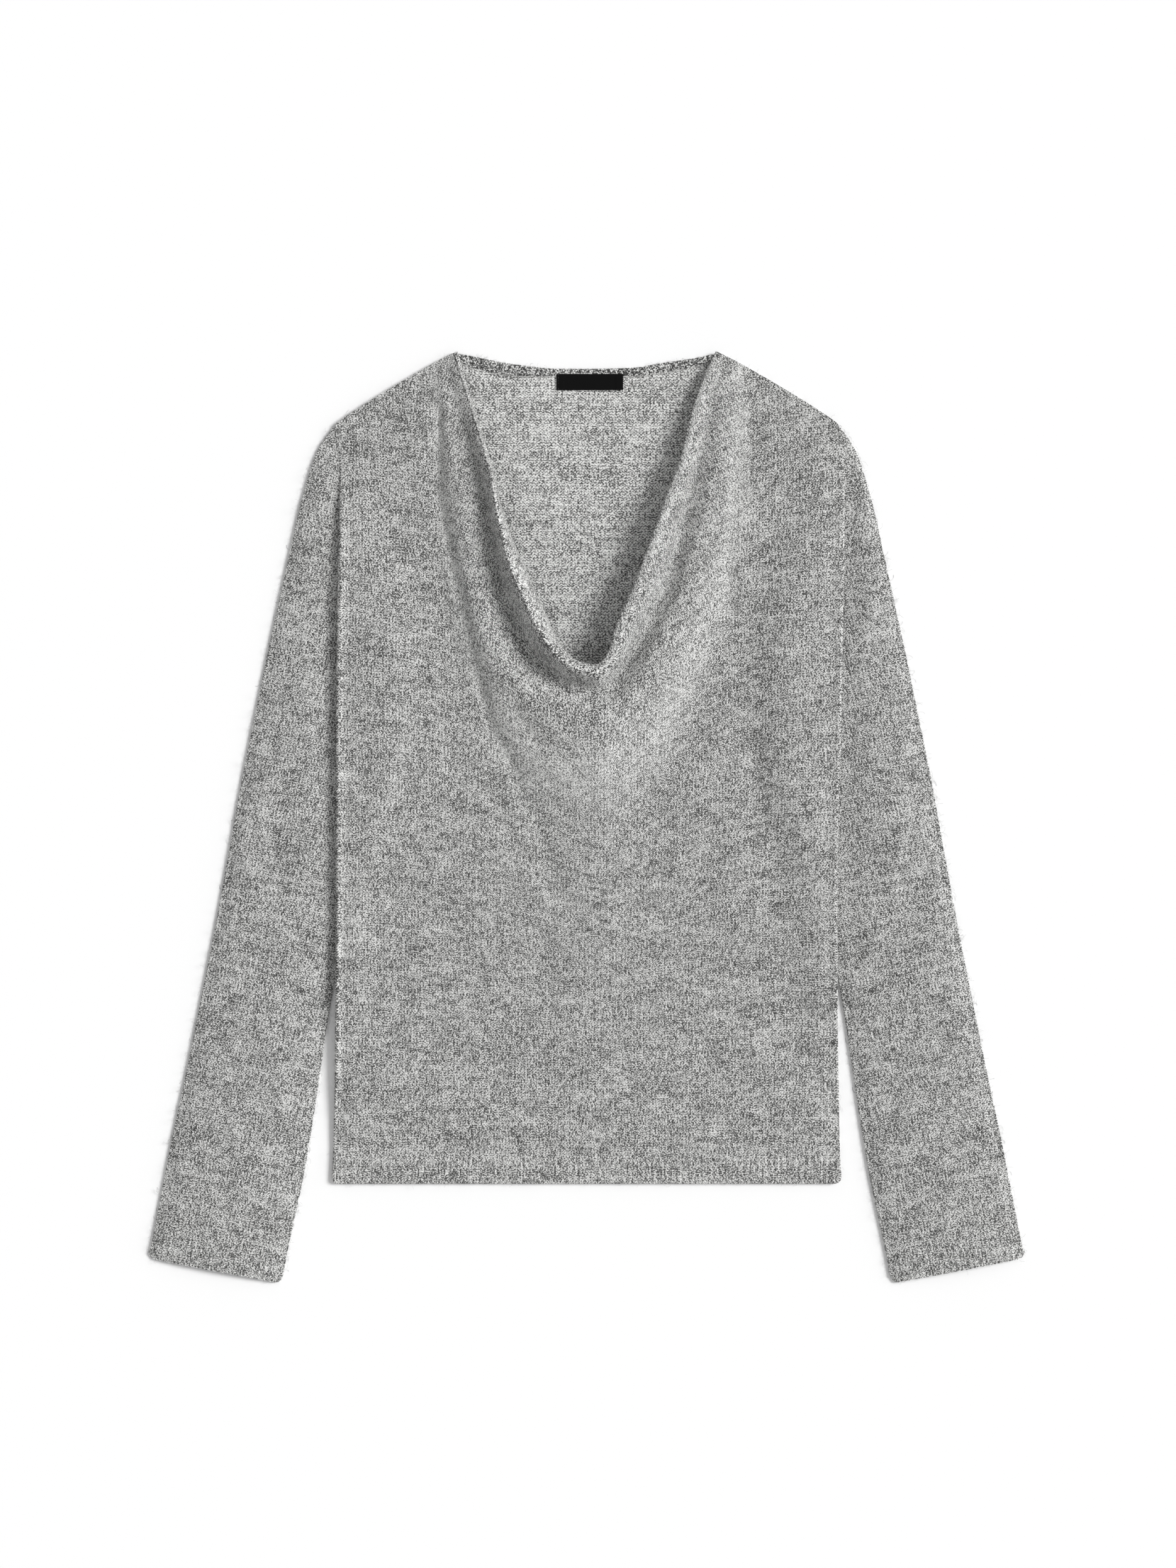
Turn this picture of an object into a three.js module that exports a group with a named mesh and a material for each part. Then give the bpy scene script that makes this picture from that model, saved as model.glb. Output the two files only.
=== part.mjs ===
// Cowl neck sweater in a fine brushed knit, laid flat on its back with both sleeves down beside the body.
// Millimetres. X runs across, Y from hem to neck, Z is up, and Z = 0 is the surface that it lies on.
// Left and right are the sides as it lies: left is -X.
import * as THREE from "three";

const { clamp, lerp, mapLinear, smoothstep } = THREE.MathUtils;

// Driving sizes
const WALL = 1.5; // one layer of the knit
const TURNED_WALL = 2.1; // the turned hem round the cowl, two layers felted together
const LABEL_WALL = 1.0;
const SEAM_GAP = 0.3; // between pieces that are sewn edge to edge
const LAYER_GAP = 0.3; // between layers that lie on each other
const FLAT_TUBE = 2 * WALL + LAYER_GAP; // a sleeve pressed flat
const HEM_Y = -268.3; // lower edge of the hem rib
const HEM_RIB = 21.3; // height of the hem rib
const HEM_TOP_Y = HEM_Y + HEM_RIB;
const RIB_PITCH = 4.5;
const RIB_HEIGHT = 0.5;
const CORNER = 5; // round of the hem's and the cuffs' corners
const NECK_X = 95.9; // neck points, where the shoulder seams begin
const NECK_Y = 341.6;
const SHOULDER_X = 184.5; // shoulder tips, where the armholes begin
const SHOULDER_Y = 288;
const SHOULDER_BOW = 5; // how far the shoulder seam bows upwards between them
const BACK_INSET = 1; // the back panel's sides lie this far inside the front's
const LIFT_RAMP = 30; // width over which the body comes down from the sleeve to the surface
const LOFT = 1.5; // air between front and back, away from the seams
const LOFT_REACH = 26;
const ROLL = 1.8; // soft roll along the side seams
const ROLL_REACH = 9;
const SHOULDER_FADE = 125; // along the outer edge, where the shoulder's bow ends and the side's roll begins
const HEM_FADE = 60; // where the roll ends above the hem
const NORMAL_STEP = 2.5; // the wall's direction is taken over this distance
const SLEEVE_CROWN = 2.4;
const CROWN_REACH = 16; // the sleeve swells over this distance from the body's side
const EDGE_ROUND = 8; // and over this distance from its own folded edges
const ARMPIT = { x: 150, y: 113 }; // lower end of the armhole, folded in under the body
const FOLD_UNDER_Y = 250; // below this the body's side lies on the sleeve
const LABEL = { left: -22.1, right: 26.8, top: 326, bottom: 314, curl: 1.2 };

const KNIT_GREY = 0xa1a19f;
const RIB_GREY = 0x9c9c9a;
const LABEL_BLACK = 0x141414;

function rows(names, ...lines) {
  return lines.map((line) => Object.fromEntries(names.map((name, i) => [name, line[i]])));
}

// The body's sides, from the shoulder tips down to the hem.
const SIDE = rows(
  ["y", "left", "right"],
  [-268.3, -187, 187],
  [-247, -186, 186],
  [-200, -184.6, 184.8],
  [-128, -183.8, 183.8],
  [-34, -183.3, 183.6],
  [60, -183.3, 186.4],
  [150, -182.4, 188],
  [215, -181.2, 189],
  [246, -181, 189.5],
  [270, -182.5, 188],
  [288, -184.5, 185],
);

// How the body rides on the sleeve: it is lifted by climb wherever |x| passes reach.
const UNDERLAP = rows(
  ["y", "reach", "climb"],
  [-268.3, 190, 0],
  [-205, 187, 0],
  [-150, 184, 2],
  [-118, 180, FLAT_TUBE + LAYER_GAP],
  [-88, 174, FLAT_TUBE + LAYER_GAP],
  [-38, 166, FLAT_TUBE + LAYER_GAP],
  [8, 157, FLAT_TUBE + LAYER_GAP],
  [45, 151, FLAT_TUBE + LAYER_GAP],
  [75, 148, FLAT_TUBE + LAYER_GAP],
  [113, 146, FLAT_TUBE + LAYER_GAP],
  [150, 148, FLAT_TUBE + LAYER_GAP],
  [175, 154, FLAT_TUBE + LAYER_GAP],
  [205, 168, FLAT_TUBE + LAYER_GAP],
  [236, 177, FLAT_TUBE + LAYER_GAP],
  [277, 183, 0],
  [288, 184, 0],
);

// The front falls in spokes from the neck opening to the panel's outer edge. edge is the way along that
// outer edge: down the left side, along the hem and up the right side. rimX and rimY are the opening's edge.
// band, trough, ridge and foot are distances down the spoke: the turned hem's seam, the deep fold below it,
// the swell after that and where the cowl ends. The Z columns are heights over a front that lies flat.
const COWL = rows(
  ["edge", "rimX", "rimY", "band", "trough", "ridge", "foot", "rimZ", "bandZ", "troughZ", "ridgeZ"],
  [0, -94.5, 341.5, 3, 9, 15, 24, 0.3, 0.6, 0.2, 0.3],
  [70, -85.5, 310, 3, 14.5, 22, 33, 3, 5, 2.5, 3.5],
  [130, -77, 283, 3, 17, 30, 48, 7, 10, 4.5, 7],
  [190, -69, 255, 3.4, 17, 38, 59, 11, 15, 6.5, 10],
  [255, -60, 219, 7, 19, 50, 66, 13, 19.5, 8, 13],
  [325, -46.6, 187.3, 18, 30.5, 56, 73, 12, 22.5, 9, 15],
  [400, -32, 154, 19, 32, 52, 82, 13, 24, 9.5, 16],
  [500, -18, 125, 9.5, 22.5, 40, 90, 18, 24, 10, 16],
  [620, -5, 114.2, 7, 20, 38, 110, 20, 23, 11.5, 15],
  [735, 6, 112, 8, 22, 41, 125, 20.5, 22.5, 12, 14],
  [880, 15, 119.7, 9.5, 29, 49, 106, 20.5, 21.5, 10, 13],
  [985, 22, 142, 16, 41, 60, 106, 21, 20, 9, 13],
  [1065, 33.5, 168, 16.5, 44, 65, 101, 21, 19, 8.5, 14],
  [1140, 45.5, 199.4, 14, 45, 68, 95, 20, 17.5, 8.5, 14],
  [1205, 57, 232, 12.5, 40, 64, 84, 17, 15, 7.5, 12],
  [1265, 68.5, 263, 10, 28, 53, 67, 13.5, 12, 6, 9.5],
  [1320, 76.5, 296, 7.5, 19.5, 39, 56, 9, 8, 4.5, 6.5],
  [1380, 86, 323, 6, 13.5, 23, 35, 4.5, 4.5, 2.5, 3],
  [1443, 94.5, 341.5, 3, 9, 15, 24, 0.3, 0.6, 0.2, 0.3],
);
const SIDE_LENGTH = 536; // in the edge column: each side seam
const EDGE_LENGTH = 1443; // and the whole way round
const HEM_WIDTH = EDGE_LENGTH - 2 * SIDE_LENGTH;

// Creases and swells of the front beside the cowl's own folds, each along a short path.
const FRONT_FOLDS = [
  { height: -1.4, width: 6, path: [[-108, 300], [-107, 236], [-91, 167], [-75, 126], [-66, 71], [-50, 30]] },
  { height: -1.1, width: 9, path: [[-50, 30], [-30, -21], [-16, -61]] },
  { height: -1.2, width: 6, path: [[112, 265], [105, 205], [105, 148]] },
  { height: -0.9, width: 12, path: [[105, 148], [113, 65], [124, 19], [136, -33]] },
  { height: 1.6, width: 32, path: [[4, 40], [4, -90]] },
  { height: 1.1, width: 24, path: [[-130, 130], [-118, -60]] },
  { height: 1.0, width: 18, path: [[150, 160], [152, 10]] },
  { height: 0.8, width: 26, path: [[-60, -150], [40, -190], [120, -160]] },
];
const SLEEVE_FOLDS = [
  { height: 1.6, width: 7, path: [[201, 236], [203, 190], [209, 150]] },
  { height: 1.0, width: 14, path: [[-238, 20], [-262, -110]] },
  { height: 0.9, width: 16, path: [[250, -60], [276, -200]] },
];

// A sleeve's sections from the cuff edge to the armhole, for either side: the outer and the inner edge, and
// how far the section bows towards the cuff.
const SLEEVE = rows(
  ["station", "outerX", "outerY", "innerX", "innerY", "bow"],
  [0, 321.6, -322.9, 223.6, -341.6, 3.5],
  [1, 317.6, -303.3, 220.2, -321.9, 3.5],
  [2, 304.5, -231.9, 205.9, -253, 2],
  [3, 293.5, -179.9, 197.5, -200, 0],
  [4, 283.1, -127.9, 189, -143, 0],
  [5, 272.7, -75.9, 179.5, -88, 0],
  [6, 263.4, -23.9, 171, -38, 0],
  [7, 254, 28.1, 162.5, 8, 0],
  [8, 243.6, 80.1, 156, 45, 0],
  [9, 232.7, 132.1, 152, 75, 0],
  [10, 221.8, 184.1, 150.5, 95, 0],
  [11, 209.8, 236.1, 150, 105, 0],
  [12, 196.5, 270.5, 150, 110, 0],
  [13, 185.6, 287, ARMPIT.x, ARMPIT.y, 0],
);
const CUFF_STATION = 1; // where the cuff rib ends and the plain sleeve begins
const CUFF_RIB = 20; // height of the cuff rib
const CUFF_WIDTH = 100;
const HEAD_STATION = 9; // from here the sections turn to meet the armhole
const LAST_STATION = 13;

// The back neck: the garment's edge, and the lower line of the band along it.
const BACK_NECK = rows(
  ["x", "edgeY", "bandY"],
  [-95.6, 341.4, 336.4],
  [-84.5, 339.4, 330.7],
  [-68.4, 336, 327.1],
  [-46.5, 332.3, 324.5],
  [-21.1, 329.9, 324.5],
  [1.3, 329.8, 324.5],
  [32.5, 330.6, 324.5],
  [54.3, 334, 327],
  [76.2, 337.3, 330.7],
  [95.6, 341.4, 336.4],
);

// Goes smoothly through one column of a table without overshooting between its rows.
function column(table, key, value) {
  const at = table.map((row) => row[key]);
  const values = table.map((row) => row[value]);
  const slopes = at.slice(1).map((x, i) => (values[i + 1] - values[i]) / (x - at[i]));
  const tangents = at.map((_, i) => {
    const before = slopes[Math.max(i - 1, 0)];
    const after = slopes[Math.min(i, slopes.length - 1)];
    return before * after <= 0 ? 0 : (2 * before * after) / (before + after);
  });
  return (x) => {
    let i = 0;
    while (i < at.length - 2 && x > at[i + 1]) i += 1;
    const step = at[i + 1] - at[i];
    const t = clamp((x - at[i]) / step, 0, 1);
    const rest = 1 - t;
    return (
      values[i] * (1 + 2 * t) * rest * rest +
      values[i + 1] * t * t * (3 - 2 * t) +
      tangents[i] * step * t * rest * rest -
      tangents[i + 1] * step * t * t * rest
    );
  };
}

function columns(table, key) {
  return Object.fromEntries(Object.keys(table[0]).map((name) => [name, column(table, key, name)]));
}

function smooth(t) {
  return smoothstep(t, 0, 1);
}

const sideLeft = column(SIDE, "y", "left");
const sideRight = column(SIDE, "y", "right");
const sideX = (sign, y) => (sign < 0 ? -sideLeft(y) : sideRight(y));
const reach = column(UNDERLAP, "y", "reach");
const climb = column(UNDERLAP, "y", "climb");
const cowl = columns(COWL, "edge");
const sleeve = columns(SLEEVE, "station");
const neckEdge = column(BACK_NECK, "x", "edgeY");
const neckBand = column(BACK_NECK, "x", "bandY");

// Height of the body's underside: on the surface, and over the sleeves along its sides.
function lift(x, y) {
  return climb(y) * (1 - smooth((reach(y) - Math.abs(x)) / LIFT_RAMP));
}

function distanceToPath(x, y, path) {
  let nearest = Infinity;
  path.slice(1).forEach(([endX, endY], i) => {
    const [startX, startY] = path[i];
    const [alongX, alongY] = [endX - startX, endY - startY];
    const t = ((x - startX) * alongX + (y - startY) * alongY) / (alongX ** 2 + alongY ** 2);
    const near = clamp(t, 0, 1);
    nearest = Math.min(nearest, Math.hypot(x - startX - near * alongX, y - startY - near * alongY));
  });
  return nearest;
}

function foldHeight(folds, x, y) {
  return folds.reduce((sum, { height, width, path }) => {
    const far = distanceToPath(x, y, path) / width;
    return sum + height * Math.exp(-far * far);
  }, 0);
}

function shoulderBow(share) {
  return SHOULDER_BOW * Math.sin(Math.PI * clamp(share, 0, 1));
}

// The front's outer edge, at a place along it.
function outerEdge(edge) {
  const hemY = HEM_TOP_Y + SEAM_GAP;
  if (edge <= SIDE_LENGTH) {
    const y = mapLinear(edge, 0, SIDE_LENGTH, SHOULDER_Y, hemY);
    return [-sideX(-1, y), y];
  }
  if (edge <= SIDE_LENGTH + HEM_WIDTH) {
    const share = (edge - SIDE_LENGTH) / HEM_WIDTH;
    return [lerp(-sideX(-1, hemY), sideX(1, hemY), share), hemY];
  }
  const y = mapLinear(edge, SIDE_LENGTH + HEM_WIDTH, EDGE_LENGTH, hemY, SHOULDER_Y);
  return [sideX(1, y), y];
}

function spokeLength(edge) {
  const [endX, endY] = outerEdge(edge);
  return Math.hypot(endX - cowl.rimX(edge), endY - cowl.rimY(edge));
}

// Height of the cowl's folds, run millimetres down a spoke from the opening.
function cowlHeight(edge, run) {
  const marks = [0, cowl.band(edge), cowl.trough(edge), cowl.ridge(edge), cowl.foot(edge)];
  const heights = [cowl.rimZ(edge), cowl.bandZ(edge), cowl.troughZ(edge), cowl.ridgeZ(edge), 0];
  const next = marks.findIndex((mark) => mark > run);
  if (next < 1) return next === 0 ? heights[0] : 0;
  const share = (run - marks[next - 1]) / (marks[next] - marks[next - 1]);
  return lerp(heights[next - 1], heights[next], smooth(share));
}

// The middle of the front's wall, run millimetres down the spoke that ends at edge.
function frontPoint(edge, run) {
  const [endX, endY] = outerEdge(edge);
  const share = run / spokeLength(edge);
  const fromShoulder = Math.min(edge, EDGE_LENGTH - edge);
  const x = lerp(cowl.rimX(edge), endX, share);
  const bow = shoulderBow(share) * (1 - smooth(fromShoulder / SHOULDER_FADE));
  const y = lerp(cowl.rimY(edge), endY, share) + bow;
  const inward = spokeLength(edge) - run;
  const seamed = Math.min(inward, fromShoulder / 2);
  const fromHem = Math.abs(edge - EDGE_LENGTH / 2) - HEM_WIDTH / 2;
  const alongSide = smooth(fromShoulder / SHOULDER_FADE) * smooth(fromHem / HEM_FADE);
  const roll = ROLL * alongSide * (inward / ROLL_REACH) * Math.exp(1 - inward / ROLL_REACH);
  const soft = (LOFT + foldHeight(FRONT_FOLDS, x, y)) * smooth(seamed / LOFT_REACH);
  const flat = lift(x, y) + WALL + LAYER_GAP + WALL / 2;
  return new THREE.Vector3(x, y, flat + cowlHeight(edge, run) + Math.max(soft, 0) + roll);
}

function frontNormal(edge, run) {
  const before = Math.max(edge - NORMAL_STEP, 0);
  const after = Math.min(edge + NORMAL_STEP, EDGE_LENGTH);
  const across = frontPoint(after, run).sub(frontPoint(before, run));
  const down = frontPoint(edge, run + NORMAL_STEP).sub(frontPoint(edge, Math.max(run - NORMAL_STEP, 0)));
  const normal = across.cross(down).normalize();
  return normal.z < 0 ? normal.negate() : normal;
}

// The outer and the under face of the front's wall, moved out from its middle. extra thickens its outside.
function frontFaces(edge, run, extra = 0) {
  const middle = frontPoint(edge, run);
  const normal = frontNormal(edge, run);
  return [
    middle.clone().addScaledVector(normal, WALL / 2 + extra),
    middle.clone().addScaledVector(normal, -WALL / 2),
  ];
}

// Evenly spaced values from first to last, count steps.
function steps(first, last, count) {
  return Array.from({ length: count + 1 }, (_, i) => lerp(first, last, i / count));
}

// One closed wall between two grids of points, grid[column][row]. A ring joins its last column to its first.
function wallBetween(top, under, ring = false) {
  const columns = top.length;
  const count = top[0].length;
  const points = [...top.flat(), ...under.flat()];
  const index = [];
  const face = (a, b, c, d) => index.push(a, b, c, a, c, d);
  const topAt = (i, j) => (i % columns) * count + j;
  const underAt = (i, j) => columns * count + topAt(i, j);
  const spans = ring ? columns : columns - 1;
  for (let i = 0; i < spans; i += 1) {
    for (let j = 0; j < count - 1; j += 1) {
      face(topAt(i, j), topAt(i + 1, j), topAt(i + 1, j + 1), topAt(i, j + 1));
      face(underAt(i, j + 1), underAt(i + 1, j + 1), underAt(i + 1, j), underAt(i, j));
    }
    face(underAt(i, 0), underAt(i + 1, 0), topAt(i + 1, 0), topAt(i, 0));
    const end = count - 1;
    face(topAt(i, end), topAt(i + 1, end), underAt(i + 1, end), underAt(i, end));
  }
  if (!ring) {
    for (let j = 0; j < count - 1; j += 1) {
      face(topAt(0, j), topAt(0, j + 1), underAt(0, j + 1), underAt(0, j));
      face(underAt(spans, j), underAt(spans, j + 1), topAt(spans, j + 1), topAt(spans, j));
    }
  }
  return facingOut(points, index);
}

function facingOut(points, index) {
  let volume = 0;
  for (let i = 0; i < index.length; i += 3) {
    const [a, b, c] = [points[index[i]], points[index[i + 1]], points[index[i + 2]]];
    volume += a.dot(b.clone().cross(c)) / 6;
  }
  if (volume < 0) index.reverse();
  const geometry = new THREE.BufferGeometry().setFromPoints(points);
  geometry.setIndex(index);
  geometry.computeVertexNormals();
  return geometry;
}

function piece(name, geometry, color) {
  const material = new THREE.MeshStandardMaterial({ color, roughness: 0.95, metalness: 0 });
  const mesh = new THREE.Mesh(geometry, material);
  mesh.name = name;
  return mesh;
}

// Spokes along the front: even along the sides and along the hem, with one at each hem corner.
const SIDE_SPOKES = 20;
const HEM_SPOKES = 16;
const SPOKES = [
  ...steps(0, SIDE_LENGTH, SIDE_SPOKES),
  ...steps(SIDE_LENGTH, SIDE_LENGTH + HEM_WIDTH, HEM_SPOKES).slice(1),
  ...steps(SIDE_LENGTH + HEM_WIDTH, EDGE_LENGTH, SIDE_SPOKES).slice(1),
];

// The front panel: rings from the turned hem out over trough, ridge and foot to the sides and the hem rib.
function frontPanel() {
  const grid = SPOKES.map((edge) => {
    const start = cowl.band(edge) + SEAM_GAP / 2;
    const runs = [
      ...steps(start, cowl.trough(edge), 4),
      ...steps(cowl.trough(edge), cowl.ridge(edge), 3).slice(1),
      ...steps(cowl.ridge(edge), cowl.foot(edge), 4).slice(1),
      ...steps(cowl.foot(edge), spokeLength(edge) - 2 * ROLL_REACH, 6).slice(1),
      ...steps(spokeLength(edge) - 2 * ROLL_REACH, spokeLength(edge), 4).slice(1),
    ];
    return runs.map((run) => frontFaces(edge, run));
  });
  const top = grid.map((line) => line.map((faces) => faces[0]));
  const under = grid.map((line) => line.map((faces) => faces[1]));
  return piece("front_panel", wallBetween(top, under), KNIT_GREY);
}

// The turned hem that edges the cowl, from the opening to the front panel.
function cowlHem() {
  const grid = SPOKES.map((edge) =>
    steps(0, cowl.band(edge) - SEAM_GAP / 2, 3).map((run) =>
      frontFaces(edge, run, TURNED_WALL - WALL),
    ),
  );
  const top = grid.map((line) => line.map((faces) => faces[0]));
  const under = grid.map((line) => line.map((faces) => faces[1]));
  return piece("cowl_hem", wallBetween(top, under), KNIT_GREY);
}

// The back panel's columns: their places along the neck and shoulders, as x at the top edge.
const BACK_SHOULDER_COLUMNS = 5;
const BACK_NECK_COLUMNS = 16;
const NECK_PLACES = steps(-NECK_X + 1.6, NECK_X - 1.6, BACK_NECK_COLUMNS);
const BACK_TOP = [
  ...steps(-SHOULDER_X + BACK_INSET, -NECK_X - 0.7, BACK_SHOULDER_COLUMNS),
  ...NECK_PLACES,
  ...steps(NECK_X + 0.7, SHOULDER_X - BACK_INSET, BACK_SHOULDER_COLUMNS),
];

function backTopY(x) {
  const outward = Math.abs(x);
  if (outward < NECK_X) return neckBand(x) - SEAM_GAP;
  const share = (outward - NECK_X) / (SHOULDER_X - NECK_X);
  return lerp(NECK_Y, SHOULDER_Y, share) + shoulderBow(share) - 0.3;
}

// The back panel lies under the front, on the surface and over the sleeves' hidden edges.
function backPanel() {
  const rowsUp = steps(0, 1, 16).map((share) => share * (1.5 - 0.5 * share)); // closer together near the neck
  const bottomY = HEM_TOP_Y + SEAM_GAP;
  const last = BACK_TOP.length - 1;
  const point = (i, share, height) => {
    const y = lerp(bottomY, backTopY(BACK_TOP[i]), share);
    const left = -sideX(-1, y) + BACK_INSET;
    const right = sideX(1, y) - BACK_INSET;
    const even = lerp(left, right, i / last);
    const x = lerp(even, clamp(BACK_TOP[i], left, right), share ** 3);
    return new THREE.Vector3(x, y, lift(x, y) + height);
  };
  const grid = (height) => BACK_TOP.map((_, i) => rowsUp.map((share) => point(i, share, height)));
  return piece("back_panel", wallBetween(grid(WALL), grid(0)), KNIT_GREY);
}

// A flat band between two lines of the back neck.
function backNeckBand() {
  const point = (x, share, height) => {
    const outward = lerp(1, (NECK_X - 0.5) / (NECK_X - 1.6), share); // the ends lean out to the shoulders
    return new THREE.Vector3(x * outward, lerp(neckBand(x), neckEdge(x), share), height);
  };
  const grid = (height) => NECK_PLACES.map((x) => [0, 0.5, 1].map((share) => point(x, share, height)));
  return piece("back_neck_band", wallBetween(grid(WALL), grid(0)), KNIT_GREY);
}

// How far a rounded corner stands back from a straight edge, inset millimetres from the corner.
function cornerRound(inset) {
  const into = Math.max(CORNER - inset, 0);
  return CORNER - Math.sqrt(CORNER * CORNER - into * into);
}

// The front hem rib: raised ribs on the top face over a plain underside.
function hemFront() {
  const count = 2 * Math.round((SIDE[0].right - SIDE[0].left) / RIB_PITCH);
  const base = WALL + LAYER_GAP;
  const point = (i, atTop, height) => {
    const share = i / count;
    const y = atTop ? HEM_TOP_Y : HEM_Y;
    const x = lerp(-sideX(-1, y), sideX(1, y), share);
    const inset = Math.min(x + sideX(-1, y), sideX(1, y) - x);
    return new THREE.Vector3(x, atTop ? y : y + cornerRound(inset), height);
  };
  const line = (i, height) => [point(i, false, height), point(i, true, height)];
  const columns = Array.from({ length: count + 1 }, (_, i) => i);
  const top = columns.map((i) => line(i, base + WALL + (i % 2 ? RIB_HEIGHT : 0)));
  const under = columns.map((i) => line(i, base));
  return piece("hem_front", wallBetween(top, under), RIB_GREY);
}

// The back hem rib is plain, because it lies flat on the surface.
function hemBack() {
  const insets = [0, 0.6, 1.6, 3, CORNER];
  const count = 8;
  const span = (y) => [-sideX(-1, y) + BACK_INSET, sideX(1, y) - BACK_INSET];
  const places = (y) => {
    const [left, right] = span(y);
    return [
      ...insets.map((inset) => left + inset),
      ...steps(left + CORNER, right - CORNER, count).slice(1, -1),
      ...insets.map((inset) => right - inset).reverse(),
    ];
  };
  const insetOf = (x) => Math.min(x - span(HEM_Y)[0], span(HEM_Y)[1] - x);
  const upper = places(HEM_TOP_Y);
  const grid = (height) =>
    places(HEM_Y).map((x, i) => [
      new THREE.Vector3(x, HEM_Y + cornerRound(insetOf(x)), height),
      new THREE.Vector3(upper[i], HEM_TOP_Y, height),
    ]);
  return piece("hem_back", wallBetween(grid(WALL), grid(0)), RIB_GREY);
}

// The armhole, from the shoulder tip down to the armpit: beside the body's side, then folded in under it.
function armhole(sign, share) {
  const y = lerp(SHOULDER_Y - 1, ARMPIT.y, share);
  const fold = smooth((FOLD_UNDER_Y - y) / (FOLD_UNDER_Y - ARMPIT.y));
  return [lerp(sideX(sign, y) + 2 * SEAM_GAP, ARMPIT.x, fold), y];
}

// A place on a sleeve's section, along millimetres in from its outer edge.
function sleevePlace(sign, station, along) {
  const outer = [sleeve.outerX(station), sleeve.outerY(station)];
  const inner = [sleeve.innerX(station), sleeve.innerY(station)];
  const width = Math.hypot(inner[0] - outer[0], inner[1] - outer[1]);
  const share = along / width;
  const towardsCuff = [(inner[1] - outer[1]) / width, (outer[0] - inner[0]) / width];
  const bow = sleeve.bow(station) * 4 * share * (1 - share);
  const clamped = clamp(share, 0, 1);
  const [tip, end, met] = [armhole(sign, 0), armhole(sign, 1), armhole(sign, clamped)];
  const turned = smooth((station - HEAD_STATION) / (LAST_STATION - HEAD_STATION));
  const x = lerp(outer[0], inner[0], share) - towardsCuff[0] * bow;
  const y = lerp(outer[1], inner[1], share) - Math.abs(towardsCuff[1]) * bow;
  const headX = turned * (met[0] - lerp(tip[0], end[0], clamped));
  return { x: sign * (x + headX), y, width };
}

// A closed section of a flattened sleeve. inset moves it in from the outer face, and ribs raises its top.
function sleeveSection(sign, station, inset, topCount, ribs) {
  const { width } = sleevePlace(sign, station, 0);
  const round = FLAT_TUBE / 2;
  const radius = round - inset;
  const arcSteps = 3;
  const underCount = 4;
  const corner = station === 0 ? cornerRound : () => 0;
  const point = (along, height) => {
    const place = sleevePlace(sign, station, along);
    const back = corner(Math.max(Math.min(along, width - along), 0));
    return new THREE.Vector3(place.x, place.y + back, round + height);
  };
  const arc = (centre, from) =>
    steps(from, from - Math.PI, arcSteps).map((angle) =>
      point(centre + radius * Math.cos(angle), radius * Math.sin(angle)),
    );
  const crown = (along) => {
    const { x, y } = sleevePlace(sign, station, along);
    const clear = smooth((Math.abs(x) - sideX(sign, y) - 2) / CROWN_REACH);
    const swell = SLEEVE_CROWN * Math.sin(Math.PI * clamp(along / width, 0, 1));
    const fromEdge = smooth(Math.min(along, width - along) / EDGE_ROUND);
    return (swell + foldHeight(SLEEVE_FOLDS, x, y)) * clear * fromEdge;
  };
  const top = steps(round, width - round, topCount)
    .slice(1, -1)
    .map((along, i) => point(along, radius + crown(along) + (ribs && i % 2 === 0 ? RIB_HEIGHT : 0)));
  const underside = steps(width - round, round, underCount)
    .slice(1, -1)
    .map((along) => point(along, -radius));
  return [...arc(round, 1.5 * Math.PI), ...top, ...arc(width - round, 0.5 * Math.PI), ...underside];
}

function sleeveTube(name, sign, stations, topCount, ribs, color) {
  const rings = (inset, raised) =>
    stations.map((station) => sleeveSection(sign, station, inset, topCount, raised));
  const turned = (list) => list[0].map((_, i) => list.map((ring) => ring[i]));
  return piece(name, wallBetween(turned(rings(0, ribs)), turned(rings(WALL, false)), true), color);
}

function sleevePieces(name, sign) {
  const topCount = 12;
  const ribCount = 2 * Math.round(CUFF_WIDTH / RIB_PITCH);
  const cuffEnd = CUFF_STATION * (1 - SEAM_GAP / CUFF_RIB);
  return [
    sleeveTube(`sleeve_${name}`, sign, steps(CUFF_STATION, LAST_STATION, 24), topCount, false, KNIT_GREY),
    sleeveTube(`cuff_${name}`, sign, [0, cuffEnd], ribCount, true, RIB_GREY),
  ];
}

// The bare woven label lies on the back panel's inner face, sewn along its top edge, with one corner lifting.
function neckLabel() {
  const placesX = steps(LABEL.left, LABEL.right, 8);
  const placesY = steps(LABEL.bottom, LABEL.top, 3);
  const point = (x, y, height) => {
    const across = smooth((x - LABEL.left) / (LABEL.right - LABEL.left));
    const corner = across * ((LABEL.top - y) / (LABEL.top - LABEL.bottom));
    return new THREE.Vector3(x, y, lift(x, y) + WALL + LAYER_GAP + LABEL.curl * corner ** 2 + height);
  };
  const grid = (height) => placesX.map((x) => placesY.map((y) => point(x, y, height)));
  return piece("neck_label", wallBetween(grid(LABEL_WALL), grid(0)), LABEL_BLACK);
}

const sweater = new THREE.Group();
sweater.add(
  frontPanel(),
  cowlHem(),
  backPanel(),
  backNeckBand(),
  hemFront(),
  hemBack(),
  ...sleevePieces("left", -1),
  ...sleevePieces("right", 1),
  neckLabel(),
);

export default sweater;
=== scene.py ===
"""Cowl neck sweater in a fine brushed knit, laid flat: the looks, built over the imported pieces."""
import math

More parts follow.
